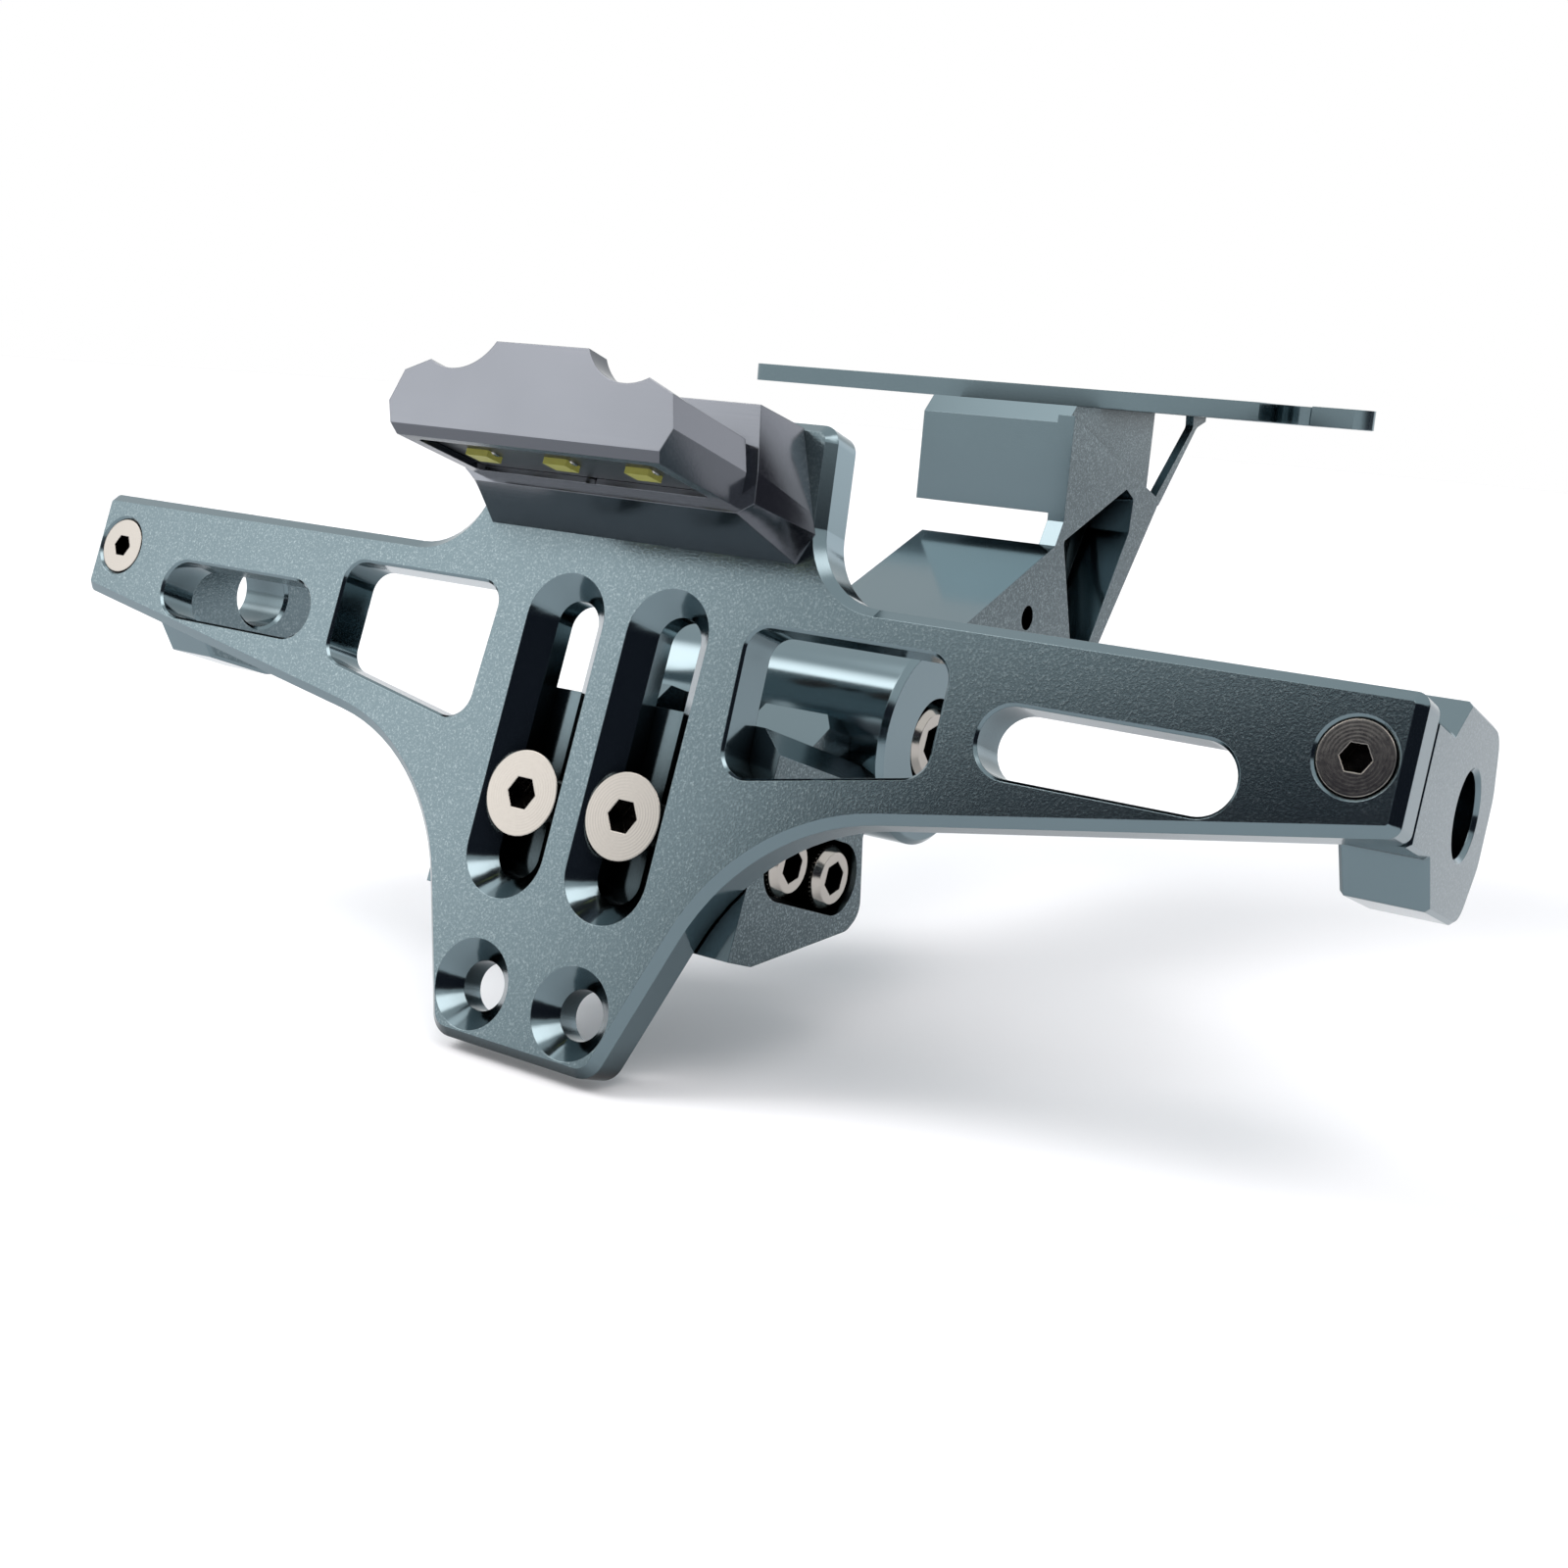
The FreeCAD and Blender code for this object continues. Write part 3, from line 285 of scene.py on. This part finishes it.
def polished_anodised(name):
    """Mirror-like grey aluminium, turned round the X axis."""
    material, tree, output = new_material(name)
    place = add(tree, "ShaderNodeTexCoord")
    rings = add(tree, "ShaderNodeTexWave", {"Vector": place.outputs["Object"],
                                            "Scale": wave_scale(BARREL_RINGS),
                                            "Distortion": 0.0}, bands_direction="X")
    smears = add(tree, "ShaderNodeTexNoise", {"Vector": place.outputs["Object"],
                                              "Scale": per_metre(SMEAR), "Detail": 3.0})
    rough = add(tree, "ShaderNodeMapRange", {"Value": smears.outputs["Fac"],
                                             "To Min": CLEAN_ROUGHNESS,
                                             "To Max": SMEARED_ROUGHNESS})
    edges = add(tree, "ShaderNodeBevel", {"Radius": POLISHED_EDGE}, samples=4)
    marks = add(tree, "ShaderNodeBump", {"Height": rings.outputs["Fac"],
                                         "Distance": RING_DEPTH, "Strength": 0.05,
                                         "Normal": edges.outputs[0]})
    shader = add(tree, "ShaderNodeBsdfPrincipled", {
        "Base Color": linear("#78898f"), "Metallic": 1.0, "Roughness": rough.outputs[0],
        "Normal": marks.outputs[0]})
    tree.links.new(shader.outputs[0], output.inputs["Surface"])
    return material


dress(polished_anodised("polished_anodised_barrel"), "hinge_link")

# %% [markdown]
# ## Black anodised lamp
# The lamp's hood and base are anodised, with a black dye. Black anodising is
# not a paint: the metal below still shines through it, so it stays a metal with
# a very dark tint. The faces are brushed along their length, and noise that is
# stretched along X gives the brushed lines, which scatter the light. The faces
# that lean with the plate are painted a lighter grey than the smooth sides, a
# painted sheen for the light that their lines catch.

# %% Black anodised aluminium
BRUSHED_LINE, LINE_STRETCH, LINE_DEPTH = 0.25, 60.0, 0.03 * MM
LINE_ROUGHNESS, GAP_ROUGHNESS = 0.24, 0.1
BLACK_CLOUD, CLOUD_SHARE = 14.0, 0.25


def black_anodised(name, face):
    """Black aluminium with brush lines along X, and a painted sheen where it faces one way."""
    material, tree, output = new_material(name)
    place = add(tree, "ShaderNodeTexCoord")
    along = add(tree, "ShaderNodeVectorMath", {0: place.outputs["Normal"], 1: face},
                operation="DOT_PRODUCT")
    # Painted sheen: faces that lean with the plate are painted a lighter grey
    sheen_faces = add(tree, "ShaderNodeMapRange", {"Value": along.outputs["Value"],
                                               "From Min": 0.93, "From Max": 0.99})
    tint = add(tree, "ShaderNodeMix", {0: sheen_faces.outputs[0], 6: linear("#63666c"),
                                       7: linear("#888c93")}, data_type="RGBA")
    clouds = add(tree, "ShaderNodeTexNoise", {"Vector": place.outputs["Object"],
                                              "Scale": per_metre(BLACK_CLOUD), "Detail": 2.0})
    share = add(tree, "ShaderNodeMath", {0: clouds.outputs["Fac"], 1: CLOUD_SHARE},
                operation="MULTIPLY")
    cloudy = add(tree, "ShaderNodeMix", {0: share.outputs[0], 6: tint.outputs[2],
                                         7: linear("#5b5e63")}, data_type="RGBA")
    # Brushed lines are long along X and a quarter of a millimetre wide
    stretch = add(tree, "ShaderNodeMapping", {"Vector": place.outputs["Object"],
                                              "Scale": (1 / LINE_STRETCH, 1.0, 1.0)})
    lines = add(tree, "ShaderNodeTexNoise", {"Vector": stretch.outputs[0],
                                             "Scale": per_metre(BRUSHED_LINE), "Detail": 3.0})
    rough = add(tree, "ShaderNodeMapRange", {"Value": lines.outputs["Fac"],
                                             "To Min": GAP_ROUGHNESS,
                                             "To Max": LINE_ROUGHNESS})
    edges = add(tree, "ShaderNodeBevel", {"Radius": POLISHED_EDGE}, samples=4)
    bump = add(tree, "ShaderNodeBump", {"Height": lines.outputs["Fac"], "Distance": LINE_DEPTH,
                                        "Strength": 0.12, "Normal": edges.outputs[0]})
    shader = add(tree, "ShaderNodeBsdfPrincipled", {
        "Base Color": cloudy.outputs[2], "Metallic": 1.0, "Roughness": rough.outputs[0],
        "Normal": bump.outputs[0]})
    tree.links.new(shader.outputs[0], output.inputs["Surface"])
    return material


dress(black_anodised("black_anodised_lamp", PLATE_FACE), "lamp_hood", "lamp_base")

# %% [markdown]
# ## Steel
# The screws are stainless steel, pressed and then turned, so that their heads
# carry faint rings round the screw's own axis and mirror the room. A ring
# texture needs to know where that axis is, so the function takes a middle. The
# sockets are painted a dark brown, a painted shade where light hardly reaches.

# %% Steel
HEAD_RINGS, HEAD_RING_DEPTH = 0.4, 0.01 * MM
STEEL_GRAIN, STEEL_GRAIN_DEPTH = 0.6, 0.02 * MM
SMOOTHER, ROUGHER = 0.04, 0.06
PRESSED_EDGE = 0.2 * MM
SOCKET_REACH = 4.0
print("rings on the steel heads every", HEAD_RINGS, "mm")


def steel(name, colour, roughness, middle=(0.0, 0.0, 0.0)):
    """Turned steel whose rings go round a point, in metres."""
    material, tree, output = new_material(name)
    place = add(tree, "ShaderNodeTexCoord")
    grain = add(tree, "ShaderNodeTexNoise", {"Vector": place.outputs["Object"],
                                             "Scale": per_metre(STEEL_GRAIN), "Detail": 3.0})
    rough = add(tree, "ShaderNodeMapRange", {"Value": grain.outputs["Fac"],
                                             "To Min": roughness - SMOOTHER,
                                             "To Max": roughness + ROUGHER})
    centred = add(tree, "ShaderNodeVectorMath", {0: place.outputs["Object"], 1: middle},
                  operation="SUBTRACT")
    # A lathe's rings of 0.1 mm, drawn at 0.4 mm so that they show
    rings = add(tree, "ShaderNodeTexWave", {"Vector": centred.outputs[0],
                                            "Scale": wave_scale(HEAD_RINGS),
                                            "Distortion": 0.6, "Detail": 1.0,
                                            "Detail Scale": 0.2},
                wave_type="RINGS", rings_direction="SPHERICAL")
    edges = add(tree, "ShaderNodeBevel", {"Radius": PRESSED_EDGE}, samples=4)
    turned = add(tree, "ShaderNodeBump", {"Height": rings.outputs["Fac"],
                                          "Distance": HEAD_RING_DEPTH, "Strength": 0.1,
                                          "Normal": edges.outputs[0]})
    bump = add(tree, "ShaderNodeBump", {"Height": grain.outputs["Fac"],
                                        "Distance": STEEL_GRAIN_DEPTH, "Strength": 0.08,
                                        "Normal": turned.outputs[0]})
    # Painted shade: sockets and other hollows turn a dark brown
    socket_shaded = paint_recess_shade(tree, linear(colour), "#0d0a08", SOCKET_REACH, 0.4, 0.95)
    shader = add(tree, "ShaderNodeBsdfPrincipled", {
        "Base Color": socket_shaded, "Metallic": 1.0, "Roughness": rough.outputs[0],
        "Normal": bump.outputs[0]})
    tree.links.new(shader.outputs[0], output.inputs["Surface"])
    return material


# %% [markdown]
# ## Screws, nuts and washers
# Most of them are plain stainless steel. The lamp's own screws are black oxide
# steel, a thin dark skin with a brown cast that still reflects. The four
# countersunk heads that face the viewer were turned finest, and each gets its
# own middle for its rings, worked out from its box, because a head that leans
# doesn't fill its box evenly.

# %% Steel parts
STAINLESS, BLACK_OXIDE = "#b4afa8", "#4a403c"
FACING_SCREWS = ("bracket_screw_left", "bracket_screw_right", "end_screw_left",
                 "end_screw_right")
LAMP_SCREWS = ("lamp_base_screw_left", "lamp_base_screw_right", "hood_screw_left",
               "hood_screw_right")
STEEL_WORDS = ("screw", "bolt", "nut", "washer")


def head_middle(name):
    """The middle of a countersunk head that faces the way the bracket does."""
    low, high = (Vector(corner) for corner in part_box(name))
    radius = (high.x - low.x) / 2
    return Vector((low.x + radius, low.y + radius * PLATE_FACE[2],
                   high.z + radius * PLATE_FACE[1]))


stainless = steel("stainless_steel", STAINLESS, 0.14)
dress(stainless, *[name for name in nodes if any(word in name for word in STEEL_WORDS)
                   and name not in FACING_SCREWS + LAMP_SCREWS])
dress(steel("black_oxide_steel", BLACK_OXIDE, 0.25), *LAMP_SCREWS)
for name in FACING_SCREWS:
    dress(steel("stainless_" + name, STAINLESS, 0.11, head_middle(name)), name)
    print(name, "turned round", [round(v * 1000, 1) for v in head_middle(name)], "mm")

# %% [markdown]
# ## Circuit board and its LEDs
# A number plate lamp has a small board with surface-mounted white LEDs. The
# board is covered in black solder mask, and each LED is a white block whose
# window is filled with yellow phosphor, dull while the lamp is off. Both are
# plain materials that don't conduct, with a faint cloud in their colour so that
# they don't look printed.

# %% Board and LEDs
BOARD_CLOUD = 0.8


def plastic(name, colour, second, roughness):
    """A material that isn't metal, clouded between two colours."""
    material, tree, output = new_material(name)
    place = add(tree, "ShaderNodeTexCoord")
    cloud = add(tree, "ShaderNodeTexNoise", {"Vector": place.outputs["Object"],
                                             "Scale": per_metre(BOARD_CLOUD), "Detail": 2.0})
    paint = add(tree, "ShaderNodeMix", {0: cloud.outputs["Fac"], 6: linear(colour),
                                        7: linear(second)}, data_type="RGBA")
    shader = add(tree, "ShaderNodeBsdfPrincipled", {
        "Base Color": paint.outputs[2], "Roughness": roughness})
    tree.links.new(shader.outputs[0], output.inputs["Surface"])
    return material


dress(plastic("black_solder_mask", "#17181b", "#1f2124", 0.35), "lamp_board")
dress(plastic("yellow_phosphor", "#a5a450", "#98964a", 0.45), "led_left", "led_middle",
      "led_right")

# %% [markdown]
# ## Small things that repeat
# Two details come many times over: drops of solder at both ends of each LED, and
# the fine straight ridges round a cap screw's head, which a wet hand can grip.
# Geometry Nodes are good at such rows. One drop or ridge is put on every point of
# a line or a circle, so a change of a count or a size moves them all. Three
# helpers start a tree with named sizes, end it with a material, and turn its
# result into a plain mesh that rides on a body.

# %% Geometry Nodes helpers
def new_group(name, sizes):
    """A geometry tree with named sizes as inputs, and its group input node."""
    tree = bpy.data.node_groups.new(name, "GeometryNodeTree")
    tree.interface.new_socket("Geometry", in_out="OUTPUT", socket_type="NodeSocketGeometry")
    for size, kind in sizes.items():
        tree.interface.new_socket(size, in_out="INPUT", socket_type=kind)
    return tree, tree.nodes.new("NodeGroupInput").outputs


def end_group(tree, geometry, material):
    """Realizes the instances and gives the result its material."""
    real = add(tree, "GeometryNodeRealizeInstances", {0: geometry})
    painted = add(tree, "GeometryNodeSetMaterial", {0: real.outputs[0], "Material": material})
    output = tree.nodes.new("NodeGroupOutput")
    tree.links.new(painted.outputs[0], output.inputs[0])


def grown(name, tree, values, turn, body):
    """The tree's result as a plain mesh, put in its place, riding on a body."""
    holder = bpy.data.objects.new(name + "_tree", bpy.data.meshes.new(name + "_seed"))
    scene.collection.objects.link(holder)
    modifier = holder.modifiers.new("grow", "NODES")
    modifier.node_group = tree
    for socket in tree.interface.items_tree:
        if socket.in_out == "INPUT":
            modifier[socket.identifier] = values[socket.name]
    ready = holder.evaluated_get(bpy.context.evaluated_depsgraph_get())
    mesh = bpy.data.meshes.new_from_object(ready)
    bpy.data.objects.remove(holder)
    mesh.transform(turn)
    piece = bpy.data.objects.new(name, mesh)
    scene.collection.objects.link(piece)
    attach(piece, body)
    print(name, len(mesh.polygons), "faces on", body)


# %% [markdown]
# ## Solder at the LEDs
# Each LED is soldered to the board at both ends, and the solder stands there as
# a flat, bright drop. A pair of squashed balls, one at each end, goes on every
# point of a line with one point for each LED. The line takes its pitch from the
# places of the LEDs, so the drops stay with them.

# %% Solder drops
DROP_HALF_DEPTH, DROP_HALF_HEIGHT = 0.9 * MM, 0.3 * MM
LED_THICK = 0.8 * MM


def solder_tree():
    """Pairs of flat drops, one pair on every point of a line along X."""
    tree, inputs = new_group("solder", {
        "Count": "NodeSocketInt", "Pitch": "NodeSocketFloat", "Reach": "NodeSocketFloat",
        "Depth": "NodeSocketFloat", "Height": "NodeSocketFloat"})
    ball = add(tree, "GeometryNodeMeshUVSphere", {"Segments": 14, "Rings": 7, "Radius": 1.0})
    size = add(tree, "ShaderNodeCombineXYZ", {0: inputs["Height"], 1: inputs["Depth"],
                                              2: inputs["Height"]})
    pair = add(tree, "GeometryNodeJoinGeometry")
    for side in (-1.0, 1.0):
        end = add(tree, "ShaderNodeMath", {0: inputs["Reach"], 1: side}, operation="MULTIPLY")
        place = add(tree, "ShaderNodeCombineXYZ", {0: end.outputs[0]})
        drop = add(tree, "GeometryNodeTransform", {
            "Geometry": ball.outputs["Mesh"], "Translation": place.outputs[0],
            "Scale": size.outputs[0]})
        tree.links.new(drop.outputs[0], pair.inputs[0])
    step = add(tree, "ShaderNodeCombineXYZ", {0: inputs["Pitch"]})
    back = add(tree, "ShaderNodeMath", {0: inputs["Pitch"], 1: -1.0}, operation="MULTIPLY")
    first = add(tree, "ShaderNodeCombineXYZ", {0: back.outputs[0]})
    line = add(tree, "GeometryNodeMeshLine", {
        "Count": inputs["Count"], "Start Location": first.outputs[0],
        "Offset": step.outputs[0]})
    drops = add(tree, "GeometryNodeInstanceOnPoints", {0: line.outputs[0],
                                                       "Instance": pair.outputs[0]})
    smooth = add(tree, "GeometryNodeSetShadeSmooth", {0: drops.outputs[0]})
    end_group(tree, smooth.outputs[0], steel("bright_solder", "#c4c3bf", 0.2))
    return tree


leds = [Vector(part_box("led_" + place)[0]).lerp(Vector(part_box("led_" + place)[1]), 0.5)
        for place in ("left", "middle", "right")]
led_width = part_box("led_middle")[1][0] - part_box("led_middle")[0][0]
board_turn = Matrix.Rotation(-LEAN, 4, "X")
board_side = (Matrix.Translation(leds[1]) @ board_turn
              @ Matrix.Translation((0.0, 0.0, LED_THICK / 2)))
grown("led_solder", solder_tree(), {
    "Count": len(leds), "Pitch": leds[2].x - leds[1].x, "Reach": led_width / 2,
    "Depth": DROP_HALF_DEPTH, "Height": DROP_HALF_HEIGHT}, board_side, "bracket")

# %% [markdown]
# ## Ridges round the cap heads
# The heads of the two clamp screws are knurled: a roller presses straight ridges
# into the rim, so that it can be turned by hand. Thin rods that stand on a
# circle, mostly sunk in the head, give the same outline with few faces. Their
# axis is turned from Z to X, the way the screws point.

# %% Ridges
CAP_HEAD = {"radius": 4.25 * MM, "ridges": 40, "ridge": 0.14 * MM, "length": 3.2 * MM,
            "middle": 2.7 * MM}


def knurl_tree():
    """Thin ridges on a circle, all along its axis."""
    tree, inputs = new_group("knurl", {
        "Count": "NodeSocketInt", "Radius": "NodeSocketFloat", "Length": "NodeSocketFloat",
        "Ridge": "NodeSocketFloat"})
    circle = add(tree, "GeometryNodeMeshCircle", {"Vertices": inputs["Count"],
                                                  "Radius": inputs["Radius"]})
    ridge = add(tree, "GeometryNodeMeshCylinder", {
        "Vertices": 8, "Radius": inputs["Ridge"], "Depth": inputs["Length"]})
    ridges = add(tree, "GeometryNodeInstanceOnPoints", {
        0: circle.outputs[0], "Instance": ridge.outputs["Mesh"]})
    end_group(tree, ridges.outputs[0], stainless)
    return tree


knurl = knurl_tree()
for name in ("clamp_screw_front", "clamp_screw_back"):
    low, high = (Vector(corner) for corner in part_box(name))
    middle = Vector((high.x - CAP_HEAD["middle"], (low.y + high.y) / 2, (low.z + high.z) / 2))
    grown(name + "_knurl", knurl, {
        "Count": CAP_HEAD["ridges"], "Radius": CAP_HEAD["radius"] - CAP_HEAD["ridge"] / 2,
        "Length": CAP_HEAD["length"], "Ridge": CAP_HEAD["ridge"]},
        Matrix.Translation(middle) @ Matrix.Rotation(math.radians(90), 4, "Y"),
        "hinge")

# %% [markdown]
# ## The studio
# The tidy stands in a white studio. Metal shows what is around it, so the world
# is painted by direction, as if the walls were far away. Each patch of the room
# is a share from 0 to 1: a round glow about a direction, or all that lies beyond
# some planes, which is how a wall or a doorway ends. A photograph of a room
# would do too, but this keeps every edge in a place that can be chosen.

# %% Directions and patches
world = bpy.data.worlds.new("studio")
scene.world = world
world.use_nodes = True
studio = world.node_tree
studio.nodes.clear()
direction = add(studio, "ShaderNodeTexCoord").outputs["Generated"]


def bearing(azimuth, rise):
    """A direction from two angles in degrees: 0, 0 looks along -Y, 90, 0 along +X."""
    turned, raised = math.radians(azimuth), math.radians(rise)
    return Vector((math.cos(raised) * math.sin(turned), -math.cos(raised) * math.cos(turned),
                   math.sin(raised)))


def starts_at(azimuth):
    """The normal of an upright plane: larger azimuths lie beyond it."""
    return bearing(azimuth + 90, 0)


def ends_at(azimuth):
    """The normal of an upright plane: smaller azimuths lie beyond it."""
    return bearing(azimuth - 90, 0)


def glow(centre, inner, outer):
    """1 within an angle of a direction, falling to 0 at a wider angle."""
    aim = add(studio, "ShaderNodeVectorMath", {0: direction, 1: centre.normalized()},
              operation="DOT_PRODUCT")
    return add(studio, "ShaderNodeMapRange", {
        "Value": aim.outputs["Value"], "From Min": math.cos(math.radians(outer)),
        "From Max": math.cos(math.radians(inner))}, interpolation_type="SMOOTHSTEP").outputs[0]


def region(*planes, share=1.0):
    """A share that is kept beyond all the planes, each a normal and its soft degrees."""
    for normal, softness in planes:
        side = add(studio, "ShaderNodeVectorMath", {
            0: direction, 1: Vector(normal).normalized()}, operation="DOT_PRODUCT")
        reach = math.sin(math.radians(softness))
        beyond = add(studio, "ShaderNodeMapRange", {
            "Value": side.outputs["Value"], "From Min": -reach, "From Max": reach},
            interpolation_type="SMOOTHSTEP")
        share = add(studio, "ShaderNodeMath", {0: share, 1: beyond.outputs[0]},
                    operation="MULTIPLY").outputs[0]
    return share


print("azimuth 90 looks along", [round(v, 2) for v in bearing(90, 0)])

# %% [markdown]
# The room is white all round. Two bright panels hang high in front, one on each
# side, and light the bevels. A wide soft box stands low on the left, a small one
# hangs nearly overhead, and a lamp low behind the part puts a rim on what faces
# away. Dark things give the metal its depth: the wall behind the viewer, whose
# middle is lit grey, and a doorway on the right. They are painted one over the
# other, from the first in the list to the last. Rays straight from the camera see
# plain white, so the background stays white whatever the metal mirrors.

# %% World
ROOM = (0.95, 0.97, 0.98, 1.0)
SOFT_BOX = (1.78, 1.76, 1.76, 1.0)
PANEL = (4.2, 3.9, 3.8, 1.0)
BACK_LIGHT = (1.6, 1.6, 1.65, 1.0)
DARK_WALL = (0.028, 0.03, 0.042, 1.0)
GREY_WALL = (0.4, 0.4, 0.43, 1.0)
DARK_DOOR = (0.08, 0.08, 0.1, 1.0)
WHITE = (1.0, 1.0, 1.0, 1.0)
# Where the lamps are, and the angles at which each starts and stops to fade
LEFT_PANEL, LEFT_WIDTH = bearing(-50, 46), (8, 20)
RIGHT_PANEL, RIGHT_WIDTH = bearing(50, 61), (9, 20)
LOW_BOX, LOW_WIDTH = bearing(-45.9, 18.7), (4, 17)
HIGH_BOX, HIGH_WIDTH = bearing(-92, 70), (4, 12)
BACK_LAMP, BACK_WIDTH = bearing(158, 13), (5, 16)
# Planes that lean: the wall's sloping top, the table's far edge, the wall's soft
# right end, and the top of the doorway
WALL_TOP, TABLE_EDGE = (0.304, -0.538, -0.786), (0.044, 0.076, 0.996)
WALL_END, DOOR_TOP = (0.2, -1.0, 0.1), (0.426, 0.198, -0.883)

wall = region((starts_at(-33), 3), (WALL_TOP, 3), (TABLE_EDGE, 3), (WALL_END, 12))
lit_part = region((starts_at(-5), 6), (ends_at(38), 6))
wall_paint = add(studio, "ShaderNodeMix", {0: lit_part, 6: DARK_WALL, 7: GREY_WALL},
                 data_type="RGBA")
camera_ray = add(studio, "ShaderNodeLightPath").outputs["Is Camera Ray"]
patches = [
    (region((ends_at(-38), 4), share=glow(LOW_BOX, *LOW_WIDTH)), SOFT_BOX),
    (glow(BACK_LAMP, *BACK_WIDTH), BACK_LIGHT),
    (region((starts_at(92), 6), (ends_at(141), 3), (DOOR_TOP, 4)), DARK_DOOR),
    (glow(LEFT_PANEL, *LEFT_WIDTH), PANEL),
    (glow(RIGHT_PANEL, *RIGHT_WIDTH), PANEL),
    (glow(HIGH_BOX, *HIGH_WIDTH), SOFT_BOX),
    (wall, wall_paint.outputs[2]),
    (camera_ray, WHITE)]
seen = ROOM
for share, colour in patches:
    seen = add(studio, "ShaderNodeMix", {0: share, 6: seen, 7: colour},
               data_type="RGBA").outputs[2]
background = add(studio, "ShaderNodeBackground", {"Color": seen, "Strength": 1.0})
sky = add(studio, "ShaderNodeOutputWorld")
studio.links.new(background.outputs[0], sky.inputs["Surface"])
print(len(patches), "patches painted over the white room")

# %% [markdown]
# ## The floor
# The floor is a plain white sheet just under the lowest point of the part. It
# gets a little light of its own for rays that come straight from the camera or
# from shiny metal, so that it is white where it is lit and still takes a shadow.
# Metal sees it a shade darker, which keeps the undersides from glaring.

# %% Floor
FLOOR_HALF, FLOOR_GAP = 4.0, 0.5 * MM
PAPER, PAPER_IN_METAL = (0.8, 0.81, 0.83, 1.0), (0.6, 0.61, 0.63, 1.0)
PAPER_GLOW, GLOW_STRENGTH = (0.95, 0.98, 1.0, 1.0), 0.12

floor_height = frame_box[0][2] - FLOOR_GAP
mesh = bpy.data.meshes.new("floor")
corners = [(-FLOOR_HALF, -FLOOR_HALF), (FLOOR_HALF, -FLOOR_HALF), (FLOOR_HALF, FLOOR_HALF),
           (-FLOOR_HALF, FLOOR_HALF)]
mesh.from_pydata([(x, y, floor_height) for x, y in corners], [], [(0, 1, 2, 3)])
floor = bpy.data.objects.new("floor", mesh)
scene.collection.objects.link(floor)

paper, tree, output = new_material("white_paper")
ray = add(tree, "ShaderNodeLightPath")
direct = add(tree, "ShaderNodeMath", {0: ray.outputs["Is Camera Ray"],
                                      1: ray.outputs["Is Glossy Ray"]}, operation="MAXIMUM")
lift = add(tree, "ShaderNodeMath", {0: direct.outputs[0], 1: GLOW_STRENGTH},
           operation="MULTIPLY")
sheet = add(tree, "ShaderNodeMix", {0: ray.outputs["Is Glossy Ray"], 6: PAPER,
                                    7: PAPER_IN_METAL}, data_type="RGBA")
matt = add(tree, "ShaderNodeBsdfDiffuse", {"Color": sheet.outputs[2]})
light = add(tree, "ShaderNodeEmission", {"Color": PAPER_GLOW, "Strength": lift.outputs[0]})
both = add(tree, "ShaderNodeAddShader", {0: matt.outputs[0], 1: light.outputs[0]})
tree.links.new(both.outputs[0], output.inputs["Surface"])
mesh.materials.append(paper)
print("floor at", round(floor_height * 1000, 2), "mm")

# %% [markdown]
# ## The key light
# One square lamp, a metre away in the direction of the left panel, throws the
# shadow. The panel is already in the metal's reflections, so the lamp itself is
# kept out of them.

# %% Key light
KEY_SIZE, KEY_POWER = 0.4, 4.0
KEY_TARGET = Vector((0.0, -0.1, -0.05))

key_data = bpy.data.lights.new("key", "AREA")
key_data.shape = "RECTANGLE"
key_data.size, key_data.size_y = KEY_SIZE, KEY_SIZE
key_data.energy = KEY_POWER
key = bpy.data.objects.new("key", key_data)
key.visible_glossy = False
facing = (-LEFT_PANEL).to_track_quat("-Z", "Y").to_matrix().to_4x4()
key.matrix_world = Matrix.Translation(KEY_TARGET + LEFT_PANEL) @ facing
scene.collection.objects.link(key)
print("key lamp at", [round(v, 2) for v in KEY_TARGET + LEFT_PANEL])

# %% [markdown]
# ## Finish
# The view transform stays plain, so that a colour shows as it was written.

# %% Finish
scene.view_settings.view_transform = "Standard"
